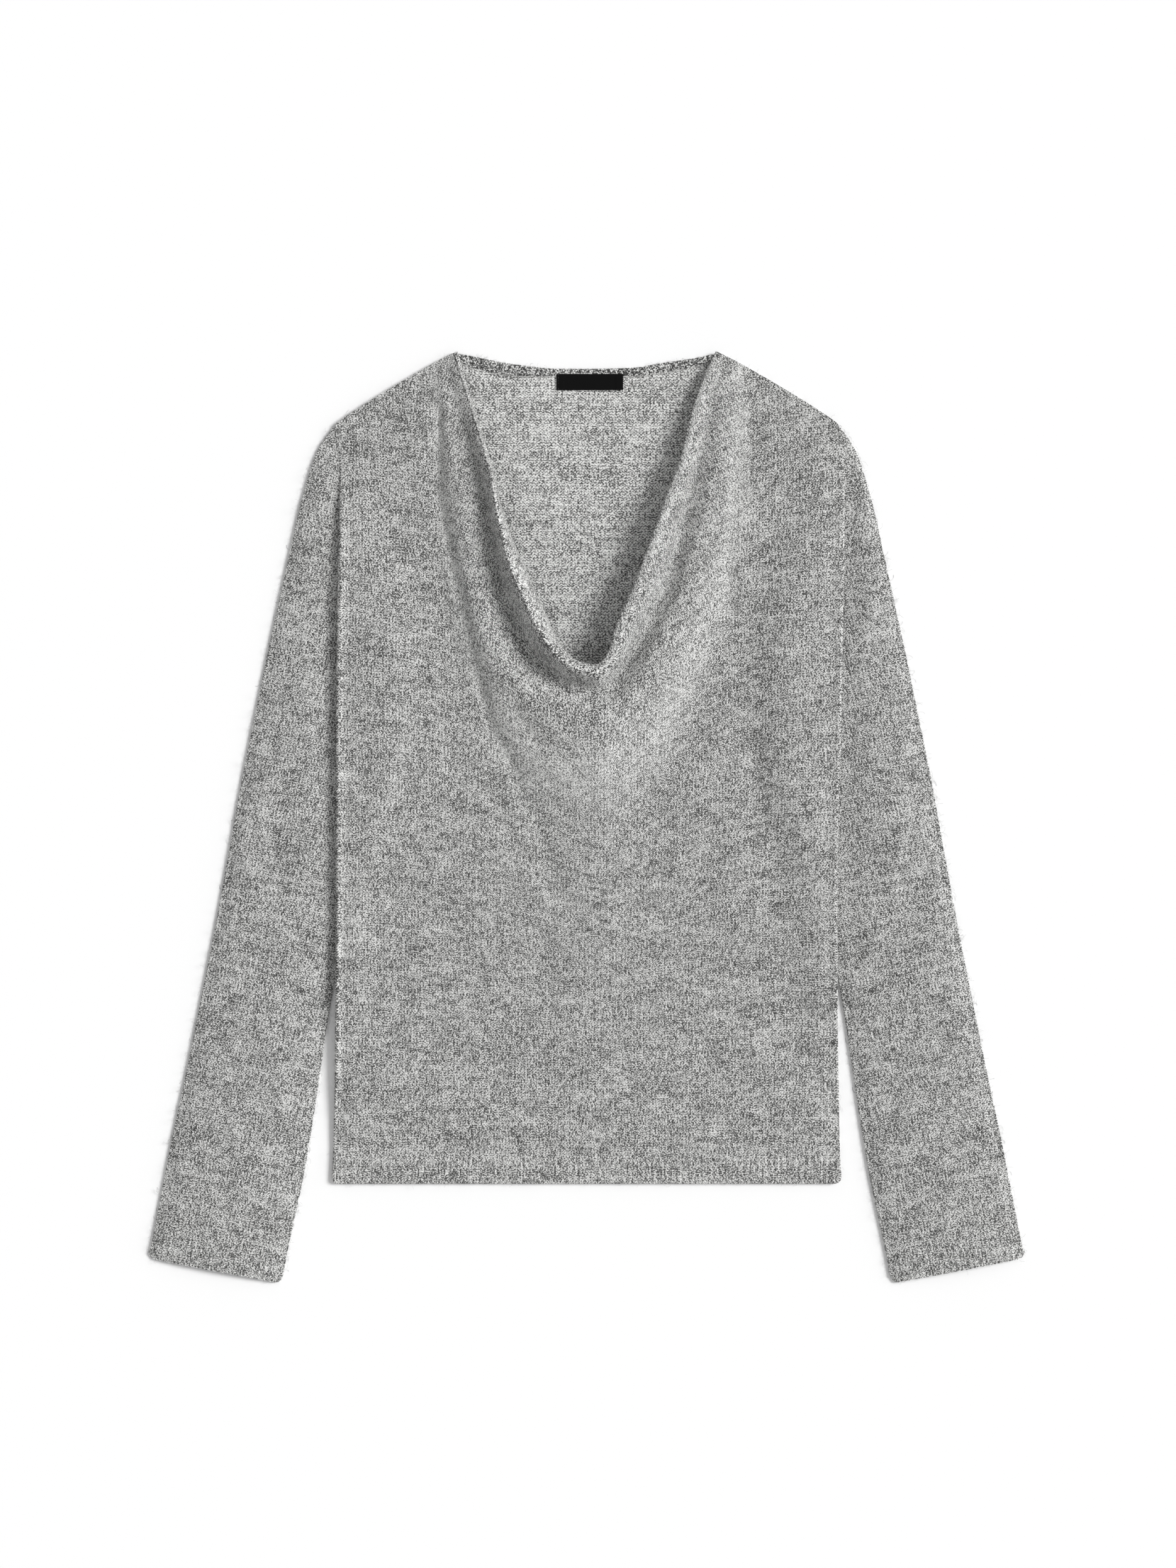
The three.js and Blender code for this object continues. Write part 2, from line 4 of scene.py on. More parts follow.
import bpy
import numpy as np
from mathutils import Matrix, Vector


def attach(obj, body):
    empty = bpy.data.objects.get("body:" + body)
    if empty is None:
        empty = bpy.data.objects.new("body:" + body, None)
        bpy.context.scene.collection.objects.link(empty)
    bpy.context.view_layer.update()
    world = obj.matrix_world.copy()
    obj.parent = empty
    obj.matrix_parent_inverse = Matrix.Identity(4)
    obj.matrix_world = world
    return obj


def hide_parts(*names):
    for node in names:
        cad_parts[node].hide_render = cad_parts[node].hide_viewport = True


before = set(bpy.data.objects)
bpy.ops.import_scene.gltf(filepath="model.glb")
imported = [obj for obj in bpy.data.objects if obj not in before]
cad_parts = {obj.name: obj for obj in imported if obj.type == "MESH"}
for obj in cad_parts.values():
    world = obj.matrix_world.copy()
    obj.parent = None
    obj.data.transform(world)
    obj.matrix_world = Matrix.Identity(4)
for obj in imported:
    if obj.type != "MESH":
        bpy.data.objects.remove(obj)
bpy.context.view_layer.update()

# The garment's sizes and tables are in millimetres, and MM turns them into Blender's metres.
MM = 0.001
WALL = 1.5
TURNED_WALL = 2.1
LAYER_GAP = 0.3
FLAT_TUBE = 2 * WALL + LAYER_GAP
OVER_TUBE = FLAT_TUBE + LAYER_GAP
HEM_Y = -268.3
HEM_TOP_Y = -247.0
NECK_X, NECK_Y = 95.9, 341.6
SHOULDER_X, SHOULDER_Y = 184.5, 288.0
SHOULDER_BOW, BOW_FULLNESS = 3.3, 0.4
BACK_INSET = 1.0
ARMPIT_X, ARMPIT_Y = 150.0, 113.0
SIDE_LENGTH = 536.0
EDGE_LENGTH = 1443.0
HEM_WIDTH = EDGE_LENGTH - 2 * SIDE_LENGTH
CUFF_STATION, HEAD_STATION, LAST_STATION = 1.0, 9.0, 13.0

# The front's soft form: its loft, the roll of its side edges and how these fade at shoulder and hem
LIFT_RAMP = 30.0
LOFT, LOFT_REACH = 1.5, 26.0
ROLL_LEFT, ROLL_RIGHT, ROLL_REACH = 3.4, 1.3, 3.0
SHOULDER_FADE, HEM_FADE, SEAM_FADE = 125.0, 60.0, 80.0
NORMAL_STEP = 1.2

# Free edges of a wall are rounded over a share of its thickness, down to a thin end.
ROUND_SHARE, ROUND_LEAST = 0.6, 0.02
EDGE_START = 0.05
SHARP_DEGREES = 55

# Grids: how many steps each piece has along its own lines
SIDE_SPOKES, HEM_SPOKES = 110, 80
SIDE_STRIP = 18.0
FRONT_RINGS = (
    ("start", "band", 14),
    ("band", "trough", 18),
    ("trough", "ridge", 18),
    ("ridge", "foot", 14),
    ("foot", "side", 86),
    ("side", "end", 18),
)
HEM_RINGS = FRONT_RINGS[0][2]
BACK_SHOULDER_COLUMNS, BACK_NECK_COLUMNS, BACK_ROWS, ROW_CROWDING = 24, 84, 120, 0.5
BAND_COLUMNS = 190
RIBBED_COLUMNS, PLAIN_COLUMNS = 665, 121
SLEEVE_STATIONS, SLEEVE_TOP, CUFF_TOP, SLEEVE_UNDER, FOLD_POINTS = 181, 76, 200, 24, 10
LABEL_COLUMNS, LABEL_ROWS = 81, 25

# Ribs, the rounded corners of hem and cuffs, and the neck band
RIB_PITCH, RIB_HEIGHT, RIB_POINT, RIB_FADE = 4.5, 0.4, 1.4, 2.0
CORNER = 5.0
BAND_INSET, BAND_TOP_INSET, BAND_SWELL = 1.6, 0.5, 0.8

# A sleeve's crown, its pressed edges, and its head tucked into the body's edge
SLEEVE_CROWN, CROWN_START, CROWN_REACH = 2.6, 2.0, 22.0
EDGE_ROUND, EDGE_PRESS, CUFF_PRESS_STATIONS, HEAD_CLEAR = 8.0, 0.7, 0.35, 80.0
CORNER_STATIONS = 0.3
FOLD_FULL, FOLD_STEEP = 0.5, 0.6
SEAM_STEP, SEAM_REACH = 0.06, 1.5
TUCK, TUCK_SHARE, TUCK_STATIONS = 4.0, 0.04, 0.6
HEAD_START_Y, FOLD_UNDER_Y = SHOULDER_Y - 1, 246.0
SLEEVE_AXIS = (-0.19, 0.98)

# The label: its ends are turned under, and one corner curls up
LABEL_LEFT, LABEL_RIGHT, LABEL_TOP, LABEL_BOTTOM = -22.1, 26.8, 326.0, 314.0
LABEL_WALL, LABEL_CURL = 0.6, 1.2
TURNED_END, TURNED_SOFT, TURNED_RISE = 5.0, 0.8, 0.16
LABEL_WAVE, WAVE_ACROSS, WAVE_UP, WAVE_SHIFT = 0.12, 0.23, 0.35, 0.4

# Pitch of the knit: a wale is one stitch across, a course is one stitch up.
WALE, COURSE = 2.24, 2.08
PURL_WALE, PURL_COURSE = 2.5, 2.1
BAND_WALE, BAND_COURSE = 3.6, 2.8

# How the knit turns with the cowl: it fans out above FAN_Y and hangs on both sides of the middle.
FAN, FAN_WIDTH, FAN_Y, FAN_SOFT = 0.57, 40.0, 165.0, 20.0
DRAPE, DRAPE_WIDTH, DRAPE_COURSES, STEEPEST = 0.7, 20.0, 0.82, 3.0

# Felting of the turned hem, and where loose fibres grow
HEM_FELT, LINE_FELT, FELT_START, FELT_END, FELT_SOFT = 0.25, 0.6, 4.0, 9.0, 2.0
EDGE_FUZZ, SIDE_FUZZ, SIDE_FUZZ_REACH = 1.4, 0.5, 6.0
FOLD_FUZZ, LOWEST_FUZZ = 5.0, 0.4
FIBRE_CLEAR = 4.0
SEEN_Y, SEEN_Y_SOFT, SEEN_X, SEEN_X_SOFT = 90.0, 30.0, 105.0, 8.0


def table(names, *lines):
    """Named columns of numbers, with one line for each section."""
    return {name: np.array(values, float) for name, values in zip(names.split(), zip(*lines))}


# The x of the body's two sides, going up the body
SIDE = table(
    "y left right",
    (-268.3, -187, 187),
    (-247, -186, 186),
    (-200, -184.6, 184.8),
    (-128, -183.8, 183.8),
    (-34, -183.3, 183.6),
    (60, -183.3, 186.4),
    (150, -182.4, 188),
    (215, -181.2, 189),
    (246, -181, 189.5),
    (270, -182.5, 188),
    (288, -184.5, 185),
)
# Where the body climbs over the sleeves: from reach outwards its underside lies climb higher.
UNDERLAP = table(
    "y reach climb",
    (-268.3, 190, 0),
    (-205, 187, 0),
    (-150, 184, 2),
    (-118, 180, OVER_TUBE),
    (-88, 174, OVER_TUBE),
    (-38, 166, OVER_TUBE),
    (8, 157, OVER_TUBE),
    (45, 151, OVER_TUBE),
    (75, 148, OVER_TUBE),
    (113, 146, OVER_TUBE),
    (150, 148, OVER_TUBE),
    (175, 154, OVER_TUBE),
    (205, 168, OVER_TUBE),
    (222, 173, 3.2),
    (236, 177, 1.6),
    (254, 181, 0.2),
    (277, 183, 0),
    (288, 184, 0),
)
# The front falls in spokes from the opening to the panel's outer edge. edge is a spoke's place round
# that edge, rimX and rimY its start on the opening. band to foot are how far down the spoke each
# fold lies, and rimZ to ridgeZ how high.
COWL = table(
    "edge rimX rimY band trough ridge foot rimZ bandZ troughZ ridgeZ",
    (0, -94.5, 341.5, 3, 9, 15, 24, 0.3, 0.6, 0.2, 0.3),
    (70, -85.5, 310, 3, 14.5, 24, 40, 3, 5, 2.0, 3),
    (130, -77, 283, 3, 15, 32, 58, 7, 10, 3.5, 5.5),
    (190, -69, 255, 3.4, 13, 36, 72, 11, 15, 4, 8),
    (255, -60, 219, 6, 16, 44, 82, 13, 19.5, 4, 9),
    (325, -46.6, 187.3, 12.5, 26.5, 53, 90, 12, 22.5, 3.5, 10.5),
    (400, -32, 154, 12.5, 27.5, 53, 98, 13, 24, 3.5, 10.5),
    (500, -18, 125, 8, 19.5, 44, 104, 18, 24, 4, 11),
    (620, -5, 114.2, 6, 18, 40, 118, 20, 23, 7, 12.5),
    (735, 6, 112, 7, 19, 38, 125, 20.5, 22.5, 8, 13),
    (880, 15, 119.7, 8, 19, 35, 112, 20.5, 21.5, 3.5, 10),
    (985, 22, 142, 11, 25, 42, 110, 21, 20, 2.5, 9.5),
    (1065, 33.5, 168, 11.5, 27, 43, 106, 21, 19, 2.5, 9.5),
    (1140, 45.5, 199.4, 10.5, 27.5, 45, 100, 20, 17.5, 2.5, 9.5),
    (1205, 57, 232, 9, 23.5, 41, 98, 17, 15, 2.5, 8),
    (1265, 68.5, 263, 8, 19, 36, 88, 13.5, 12, 3.2, 7),
    (1320, 76.5, 296, 7, 17.5, 33, 74, 9, 8, 3.0, 4.8),
    (1380, 86, 323, 6, 13.5, 23, 50, 4.5, 4.5, 1.8, 2.4),
    (1443, 94.5, 341.5, 3, 9, 15, 24, 0.3, 0.6, 0.2, 0.3),
)
# Creases and swells: height, width and the path that each follows.
FRONT_FOLDS = (
    (-2.5, 4.2, ((-108, 300), (-107, 236), (-97, 184), (-84, 128), (-71, 72), (-50, 30))),
    (-1.4, 8, ((-50, 30), (-30, -21), (-16, -61))),
    (-1.3, 5, ((-72, 18), (-52, -18), (-22, -58), (6, -66))),
    (-1.5, 6, ((-58, 92), (-40, 60), (-12, 42), (24, 50))),
    (-1.1, 7, ((30, 48), (62, 78), (88, 120))),
    (-1.6, 4.5, ((112, 265), (105, 205), (105, 148))),
    (-0.9, 12, ((105, 148), (113, 65), (124, 19), (136, -33))),
    (1.6, 32, ((4, 40), (4, -90))),
    (1.1, 24, ((-130, 130), (-118, -60))),
    (1.0, 18, ((150, 160), (152, 10))),
    (0.8, 26, ((-60, -150), (40, -190), (120, -160))),
)
SLEEVE_FOLDS = (
    (1.6, 7, ((201, 236), (203, 190), (209, 150))),
    (1.0, 14, ((-238, 20), (-262, -110))),
    (0.9, 16, ((250, -60), (276, -200))),
)
# A sleeve's sections from cuff to shoulder: both ends of each, and its bow towards the cuff
SLEEVE = table(
    "station outerX outerY innerX innerY bow",
    (0, 321.6, -322.9, 223.6, -341.6, 0),
    (1, 317.6, -303.3, 220.2, -321.9, 1),
    (2, 303.6, -231.9, 205.9, -253, 1),
    (3, 292.5, -179.9, 197.5, -200, 0),
    (4, 282.1, -127.9, 189, -143, 0),
    (5, 271.8, -75.9, 179.5, -88, 0),
    (6, 262.4, -23.9, 171, -38, 0),
    (7, 253, 28.1, 162.5, 8, 0),
    (8, 242.6, 80.1, 156, 45, 0),
    (9, 231.7, 132.1, 152, 75, 0),
    (10, 220.4, 184.1, 150.5, 95, 0),
    (11, 208.4, 236.1, 150, 105, 0),
    (12, 197, 270.5, 150, 110, 0),
    (13, 186, 287, 150, 113, 0),
)
# The back neck's edge and the lower edge of its band
BACK_NECK = table(
    "x edgeY bandY",
    (-95.6, 341.4, 336.4),
    (-84.5, 339.4, 330.7),
    (-68.4, 336, 327.1),
    (-46.5, 332.3, 324.5),
    (-21.1, 329.9, 324.5),
    (1.3, 329.8, 324.5),
    (32.5, 330.6, 324.5),
    (54.3, 334, 327),
    (76.2, 337.3, 330.7),
    (95.6, 341.4, 336.4),
)
# How far the front's courses hang down in the middle, below their height at the sides.
SAG = table(
    "y depth",
    (-268, 0),
    (-191, 4),
    (-128, 13),
    (-70, 30),
    (-24, 45),
    (40, 58),
    (112, 66),
    (342, 66),
)
SAG_WIDTH = 70.0


def through(places, values):
    """A smooth curve through a table's column, which never overshoots between its lines."""
    steps = np.diff(places)
    slopes = np.diff(values) / steps
    before = np.concatenate([slopes[:1], slopes])
    after = np.concatenate([slopes, slopes[-1:]])
    same_way = before * after > 0
    tangents = np.where(same_way, 2 * before * after / np.where(same_way, before + after, 1), 0)

    def at(x):
        i = np.clip(np.searchsorted(places, x, side="right") - 1, 0, len(places) - 2)
        t = np.clip((x - places[i]) / steps[i], 0, 1)
        rest = 1 - t
        ends = values[i] * (1 + 2 * t) * rest * rest + values[i + 1] * t * t * (3 - 2 * t)
        return ends + steps[i] * t * rest * (tangents[i] * rest - tangents[i + 1] * t)

    return at


def curves(columns, key):
    """A curve for each of a table's columns."""
    return {name: through(columns[key], values) for name, values in columns.items()}


cowl = curves(COWL, "edge")
side = curves(SIDE, "y")
underlap = curves(UNDERLAP, "y")
sleeve = curves(SLEEVE, "station")
back_neck = curves(BACK_NECK, "x")
sag_depth = through(SAG["y"], SAG["depth"])


def smooth(t):
    t = np.clip(t, 0, 1)
    return t * t * (3 - 2 * t)


def lerp(a, b, t):
    return a + (b - a) * t


def steps_between(*marks):
    """Places from mark to mark: a first value, then pairs of a count and the next value."""
    parts = [np.array([marks[0]], float)]
    for count, end in zip(marks[1::2], marks[2::2]):
        parts.append(np.linspace(parts[-1][-1], end, count + 1)[1:])
    return np.concatenate(parts)


def stacked(*parts):
    """Arrays brought to one shape and laid side by side on a last axis."""
    return np.stack(np.broadcast_arrays(*parts), axis=-1)


def side_x(sign, y):
    """Distance of the body's side from the middle: -1 is the left side and 1 the right."""
    return -side["left"](y) if sign < 0 else side["right"](y)


def lift(x, y):
    """Height of the body's underside: on the surface, and over the sleeves along its sides."""
    return underlap["climb"](y) * (1 - smooth((underlap["reach"](y) - abs(x)) / LIFT_RAMP))


def distance_to_path(x, y, path):
    """Distance from each place to a path of straight stretches."""
    nearest = np.full(np.broadcast(x, y).shape, np.inf)
    for (start_x, start_y), (end_x, end_y) in zip(path, path[1:]):
        along_x, along_y = end_x - start_x, end_y - start_y
        t = ((x - start_x) * along_x + (y - start_y) * along_y) / (along_x**2 + along_y**2)
        t = np.clip(t, 0, 1)
        far = np.hypot(x - start_x - t * along_x, y - start_y - t * along_y)
        nearest = np.minimum(nearest, far)
    return nearest


def fold_height(folds, x, y):
    """Height that a list of creases and swells adds at each place."""
    return sum(
        height * np.exp(-((distance_to_path(x, y, path) / width) ** 2))
        for height, width, path in folds
    )


def shoulder_bow(share):
    """How far the shoulder line stands proud of a straight one."""
    return SHOULDER_BOW * np.maximum(np.sin(np.pi * np.clip(share, 0, 1)), 0) ** BOW_FULLNESS


def outer_edge(edge):
    """The front's outer edge: down the left side, along the hem and up the right side."""
    hem_y = HEM_TOP_Y
    drop = (SHOULDER_Y - hem_y) / SIDE_LENGTH
    left_y = SHOULDER_Y - drop * edge
    right_y = hem_y + drop * (edge - SIDE_LENGTH - HEM_WIDTH)
    hem_x = lerp(-side_x(-1, hem_y), side_x(1, hem_y), (edge - SIDE_LENGTH) / HEM_WIDTH)
    on_left = edge <= SIDE_LENGTH
    on_hem = edge <= SIDE_LENGTH + HEM_WIDTH
    x = np.where(on_left, -side_x(-1, left_y), np.where(on_hem, hem_x, side_x(1, right_y)))
    y = np.where(on_left, left_y, np.where(on_hem, hem_y, right_y))
    return x, y


def spoke_length(edge):
    end_x, end_y = outer_edge(edge)
    return np.hypot(end_x - cowl["rimX"](edge), end_y - cowl["rimY"](edge))


def cowl_height(edge, run):
    """Height of the cowl's folds, run millimetres down a spoke from the opening."""
    marks = [np.zeros_like(edge)] + [cowl[name](edge) for name in ("band", "trough", "ridge", "foot")]
    levels = [cowl[name](edge) for name in ("rimZ", "bandZ", "troughZ", "ridgeZ")]
    levels.append(np.zeros_like(edge))
    height = levels[0] + 0 * run
    for before, after, low, high in zip(marks, marks[1:], levels, levels[1:]):
        height = height + (high - low) * smooth((run - before) / (after - before))
    return height


def front_middle(edge, run):
    """The middle of the front's wall, run millimetres down the spoke that ends at edge."""
    end_x, end_y = outer_edge(edge)
    length = spoke_length(edge)
    share = run / length
    from_shoulder = np.minimum(edge, EDGE_LENGTH - edge)
    x = lerp(cowl["rimX"](edge), end_x, share)
    bow = shoulder_bow(share) * (1 - smooth(from_shoulder / SHOULDER_FADE))
    y = lerp(cowl["rimY"](edge), end_y, share) + bow
    inward = length - run
    seamed = np.minimum(inward, from_shoulder / 2)
    from_hem = abs(edge - EDGE_LENGTH / 2) - HEM_WIDTH / 2
    along_side = smooth(from_shoulder / SHOULDER_FADE) * smooth(from_hem / HEM_FADE)
    height = np.where(edge < EDGE_LENGTH / 2, ROLL_LEFT, ROLL_RIGHT) * along_side
    roll = height * (inward / ROLL_REACH) * np.exp(1 - inward / ROLL_REACH)
    soft = (LOFT + fold_height(FRONT_FOLDS, x, y)) * smooth(seamed / LOFT_REACH)
    flat = lift(x, y) + WALL + LAYER_GAP + WALL / 2
    z = flat + np.maximum(cowl_height(edge, run) + soft, 0) + roll
    return stacked(x, y, z)


def front_normal(edge, run):
    """The way up out of the front's wall."""
    before = np.maximum(edge - NORMAL_STEP, 0)
    after = np.minimum(edge + NORMAL_STEP, EDGE_LENGTH)
    across = front_middle(after, run) - front_middle(before, run)
    down = front_middle(edge, run + NORMAL_STEP) - front_middle(edge, np.maximum(run - NORMAL_STEP, 0))
    normal = np.cross(across, down)
    normal /= np.linalg.norm(normal, axis=-1, keepdims=True)
    return np.where(normal[..., 2:] < 0, -normal, normal)


def rounded(depth, wall):
    """Share of a wall's thickness that is left at a depth in from its free edge."""
    short = 1 - np.clip(depth / (ROUND_SHARE * wall), 0, 1)
    return np.sqrt(np.maximum(1 - short * short, ROUND_LEAST))


def front_knit(x, y):
    """Wale and course numbers where the front lies flat, with its courses hanging in the middle."""
    return stacked(x / WALE, (y + sag_depth(y) / (1 + (x / SAG_WIDTH) ** 2)) / COURSE)


def cowl_knit(points):
    """Wale and course numbers round the cowl, where the cloth hangs on the bias down both sides."""
    x, y = points[..., 0], points[..., 1]
    above = FAN_SOFT * np.log1p(np.exp((y - FAN_Y) / FAN_SOFT))
    wales = (x + FAN * np.tanh(x / FAN_WIDTH) * above) / WALE
    courses = (y - DRAPE * (np.hypot(x, DRAPE_WIDTH) - DRAPE_WIDTH)) * DRAPE_COURSES / COURSE
    flat = stacked(wales, courses)
    steps = np.diff(points, axis=1)
    slope = np.linalg.norm(steps, axis=-1) / np.linalg.norm(steps[..., :2], axis=-1)
    knit_steps = np.diff(flat, axis=1) * np.minimum(slope, STEEPEST)[..., None]
    inward = np.cumsum(knit_steps[:, ::-1], axis=1)[:, ::-1]
    return np.concatenate([flat[:, -1:] - inward, flat[:, -1:]], axis=1)


def wall_quads(columns, rows, ring):
    """Faces of a closed wall between two grids of points, the upper grid first."""
    size = columns * rows
    index = np.arange(size).reshape(columns, rows)
    if ring:
        index = np.concatenate([index, index[:1]])
    a, b, c, d = index[:-1, :-1], index[1:, :-1], index[1:, 1:], index[:-1, 1:]
    faces = [np.stack([a, b, c, d], -1), np.stack([d, c, b, a], -1) + size]
    first, last = index[:, 0], index[:, -1]
    faces.append(np.stack([first[:-1] + size, first[1:] + size, first[1:], first[:-1]], -1))
    faces.append(np.stack([last[:-1], last[1:], last[1:] + size, last[:-1] + size], -1))
    if not ring:
        left, right = index[0], index[-1]
        faces.append(np.stack([left[:-1], left[1:], left[1:] + size, left[:-1] + size], -1))
        faces.append(np.stack([right[:-1] + size, right[1:] + size, right[1:], right[:-1]], -1))
    return np.concatenate([quads.reshape(-1, 4) for quads in faces])


def faces_out(points, quads):
    """The faces, turned round where they enclose a negative volume."""
    corners = points[quads]
    volume = np.einsum("ij,ij->i", corners[:, 0], np.cross(corners[:, 1], corners[:, 2])).sum()
    volume += np.einsum("ij,ij->i", corners[:, 0], np.cross(corners[:, 2], corners[:, 3])).sum()
    return quads[:, ::-1] if volume < 0 else quads


def add_object(name, data):
    """A new object in the scene."""
    made = bpy.data.objects.new(name, data)
    bpy.context.scene.collection.objects.link(made)
    return made


def wall_mesh(name, top, under, maps, values, ring=False):
    """One closed wall between two grids of points, with knit maps and values on its points."""
    grid = top.shape[:2]
    points = np.concatenate([top.reshape(-1, 3), under.reshape(-1, 3)]) * MM
    quads = faces_out(points, wall_quads(*grid, ring))
    mesh = bpy.data.meshes.new(name)
    mesh.vertices.add(len(points))
    mesh.vertices.foreach_set("co", points.ravel())
    mesh.loops.add(quads.size)
    mesh.loops.foreach_set("vertex_index", quads.ravel().astype(np.int32))
    mesh.polygons.add(len(quads))
    mesh.polygons.foreach_set("loop_start", np.arange(0, quads.size, 4, dtype=np.int32))
    mesh.update(calc_edges=True)
    mesh.polygons.foreach_set("use_smooth", np.ones(len(quads), bool))
    mesh.set_sharp_from_angle(angle=math.radians(SHARP_DEGREES))
    for label, places in maps.items():
        both = np.concatenate([places.reshape(-1, 2)] * 2)
        layer = mesh.uv_layers.new(name=label)
        layer.data.foreach_set("uv", both[quads.ravel()].astype(np.float32).ravel())
    for label, (on_top, on_under) in values.items():
        both = [np.broadcast_to(value, grid).ravel() for value in (on_top, on_under)]
        attribute = mesh.attributes.new(label, "FLOAT", "POINT")
        attribute.data.foreach_set("value", np.concatenate(both).astype(np.float32))
    return add_object(name, mesh)


def front_walls(edge, run, outside, inside):
    """The front's upper and lower faces, each at its own distance from the wall's middle."""
    middle = front_middle(edge, run)
    normal = front_normal(edge, run)
    return middle + normal * outside[..., None], middle - normal * inside[..., None]


# Spokes of the front, even along each side and along the hem, with one at each hem corner
SPOKES = steps_between(
    0, SIDE_SPOKES, SIDE_LENGTH, HEM_SPOKES, SIDE_LENGTH + HEM_WIDTH, SIDE_SPOKES, EDGE_LENGTH
)[:, None]


def full_runs():
    """Places down each spoke: the turned hem's rings, then the front panel's."""
    marks = {name: cowl[name](SPOKES) for name in ("band", "trough", "ridge", "foot")}
    marks["start"] = np.zeros_like(SPOKES)
    marks["side"] = spoke_length(SPOKES) - SIDE_STRIP
    marks["end"] = spoke_length(SPOKES)
    runs = [marks["start"]]
    for before, after, count in FRONT_RINGS:
        runs.append(lerp(marks[before], marks[after], np.linspace(0, 1, count + 1)[1:]))
    return np.concatenate(runs, axis=1)


RUNS = full_runs()
FRONT_MIDDLE = front_middle(SPOKES, RUNS)
COWL_MAP = cowl_knit(FRONT_MIDDLE)
FRONT_MAP = front_knit(FRONT_MIDDLE[..., 0], FRONT_MIDDLE[..., 1])
COWL_SHARE = 1 - smooth((RUNS - cowl["ridge"](SPOKES)) / (cowl["foot"](SPOKES) - cowl["ridge"](SPOKES)))


def front_panel():
    part = np.s_[:, HEM_RINGS:]
    inward = spoke_length(SPOKES) - RUNS[part]
    from_shoulder = np.minimum(SPOKES, EDGE_LENGTH - SPOKES)
    on_side = smooth(from_shoulder / SEAM_FADE) * (abs(SPOKES - EDGE_LENGTH / 2) > HEM_WIDTH / 2)
    half = WALL / 2 * lerp(1, rounded(inward, WALL), on_side)
    near_edge = 1 - smooth(inward / SIDE_FUZZ_REACH)
    top, under = front_walls(SPOKES, RUNS[part], half, half)
    values = {
        "cowl_share": (COWL_SHARE[part], COWL_SHARE[part]),
        "felt": (0, 0),
        "fuzz": (1 + SIDE_FUZZ * near_edge, 0),
    }
    return wall_mesh("front", top, under, {"knit": FRONT_MAP[part], "cowl": COWL_MAP[part]}, values)


def cowl_hem():
    """The front's upper edge, turned in. It is thicker and felted along its line of linking."""
    part = np.s_[:, : HEM_RINGS + 1]
    run = RUNS[part]
    keep = rounded(run, TURNED_WALL)
    top, under = front_walls(SPOKES, run, keep * (TURNED_WALL - WALL / 2), keep * WALL / 2)
    on_line = smooth((run - FELT_START) / FELT_SOFT)
    felt = HEM_FELT + LINE_FELT * on_line * (1 - smooth((run - FELT_END) / FELT_SOFT))
    maps = {"knit": FRONT_MAP[part], "cowl": COWL_MAP[part]}
    values = {"cowl_share": (1, 1), "felt": (felt, felt), "fuzz": (EDGE_FUZZ, 0)}
    return wall_mesh("turned_hem", top, under, maps, values)


def back_top_y(x):
    """The back panel's upper edge: under the neck band in the middle, and along both shoulders."""
    outward = abs(x)
    share = (outward - NECK_X) / (SHOULDER_X - NECK_X)
    shoulder = lerp(NECK_Y, SHOULDER_Y, share) + shoulder_bow(share) - LAYER_GAP
    return np.where(outward < NECK_X, back_neck["bandY"](x), shoulder)


def off_label(x, y):
    """0 under and close beside the label, which no fibre crosses, and 1 elsewhere."""
    beside = np.maximum(LABEL_LEFT - x, x - LABEL_RIGHT)
    past = np.maximum(LABEL_BOTTOM - y, y - LABEL_TOP)
    return smooth(np.maximum(beside, past) - FIBRE_CLEAR)


def back_panel():
    """The flat back, with closer rows towards the top. Its fibres grow where it shows in the neck."""
    shoulder = SHOULDER_X - BACK_INSET
    counts = (BACK_SHOULDER_COLUMNS, BACK_NECK_COLUMNS, BACK_SHOULDER_COLUMNS)
    places = steps_between(-shoulder, counts[0], -NECK_X, counts[1], NECK_X, counts[2], shoulder)[:, None]
    share = np.linspace(0, 1, BACK_ROWS + 1)[None, :]
    share = share * (1 + ROW_CROWDING - ROW_CROWDING * share)
    y = lerp(HEM_TOP_Y, back_top_y(places), share)
    left, right = BACK_INSET - side_x(-1, y), side_x(1, y) - BACK_INSET
    even = lerp(left, right, np.linspace(0, 1, len(places))[:, None])
    x = lerp(even, np.clip(places, left, right), share**3)
    base = lift(x, y)
    top, under = stacked(x, y, base + WALL), stacked(x, y, base)
    knit = stacked(x / PURL_WALE, y / PURL_COURSE)
    seen = smooth((y - SEEN_Y) / SEEN_Y_SOFT) * smooth((SEEN_X - abs(x)) / SEEN_X_SOFT) * off_label(x, y)
    return wall_mesh("back", top, under, {"knit": knit}, {"felt": (0.1, 0.3), "fuzz": (0.5 * seen, 0)})


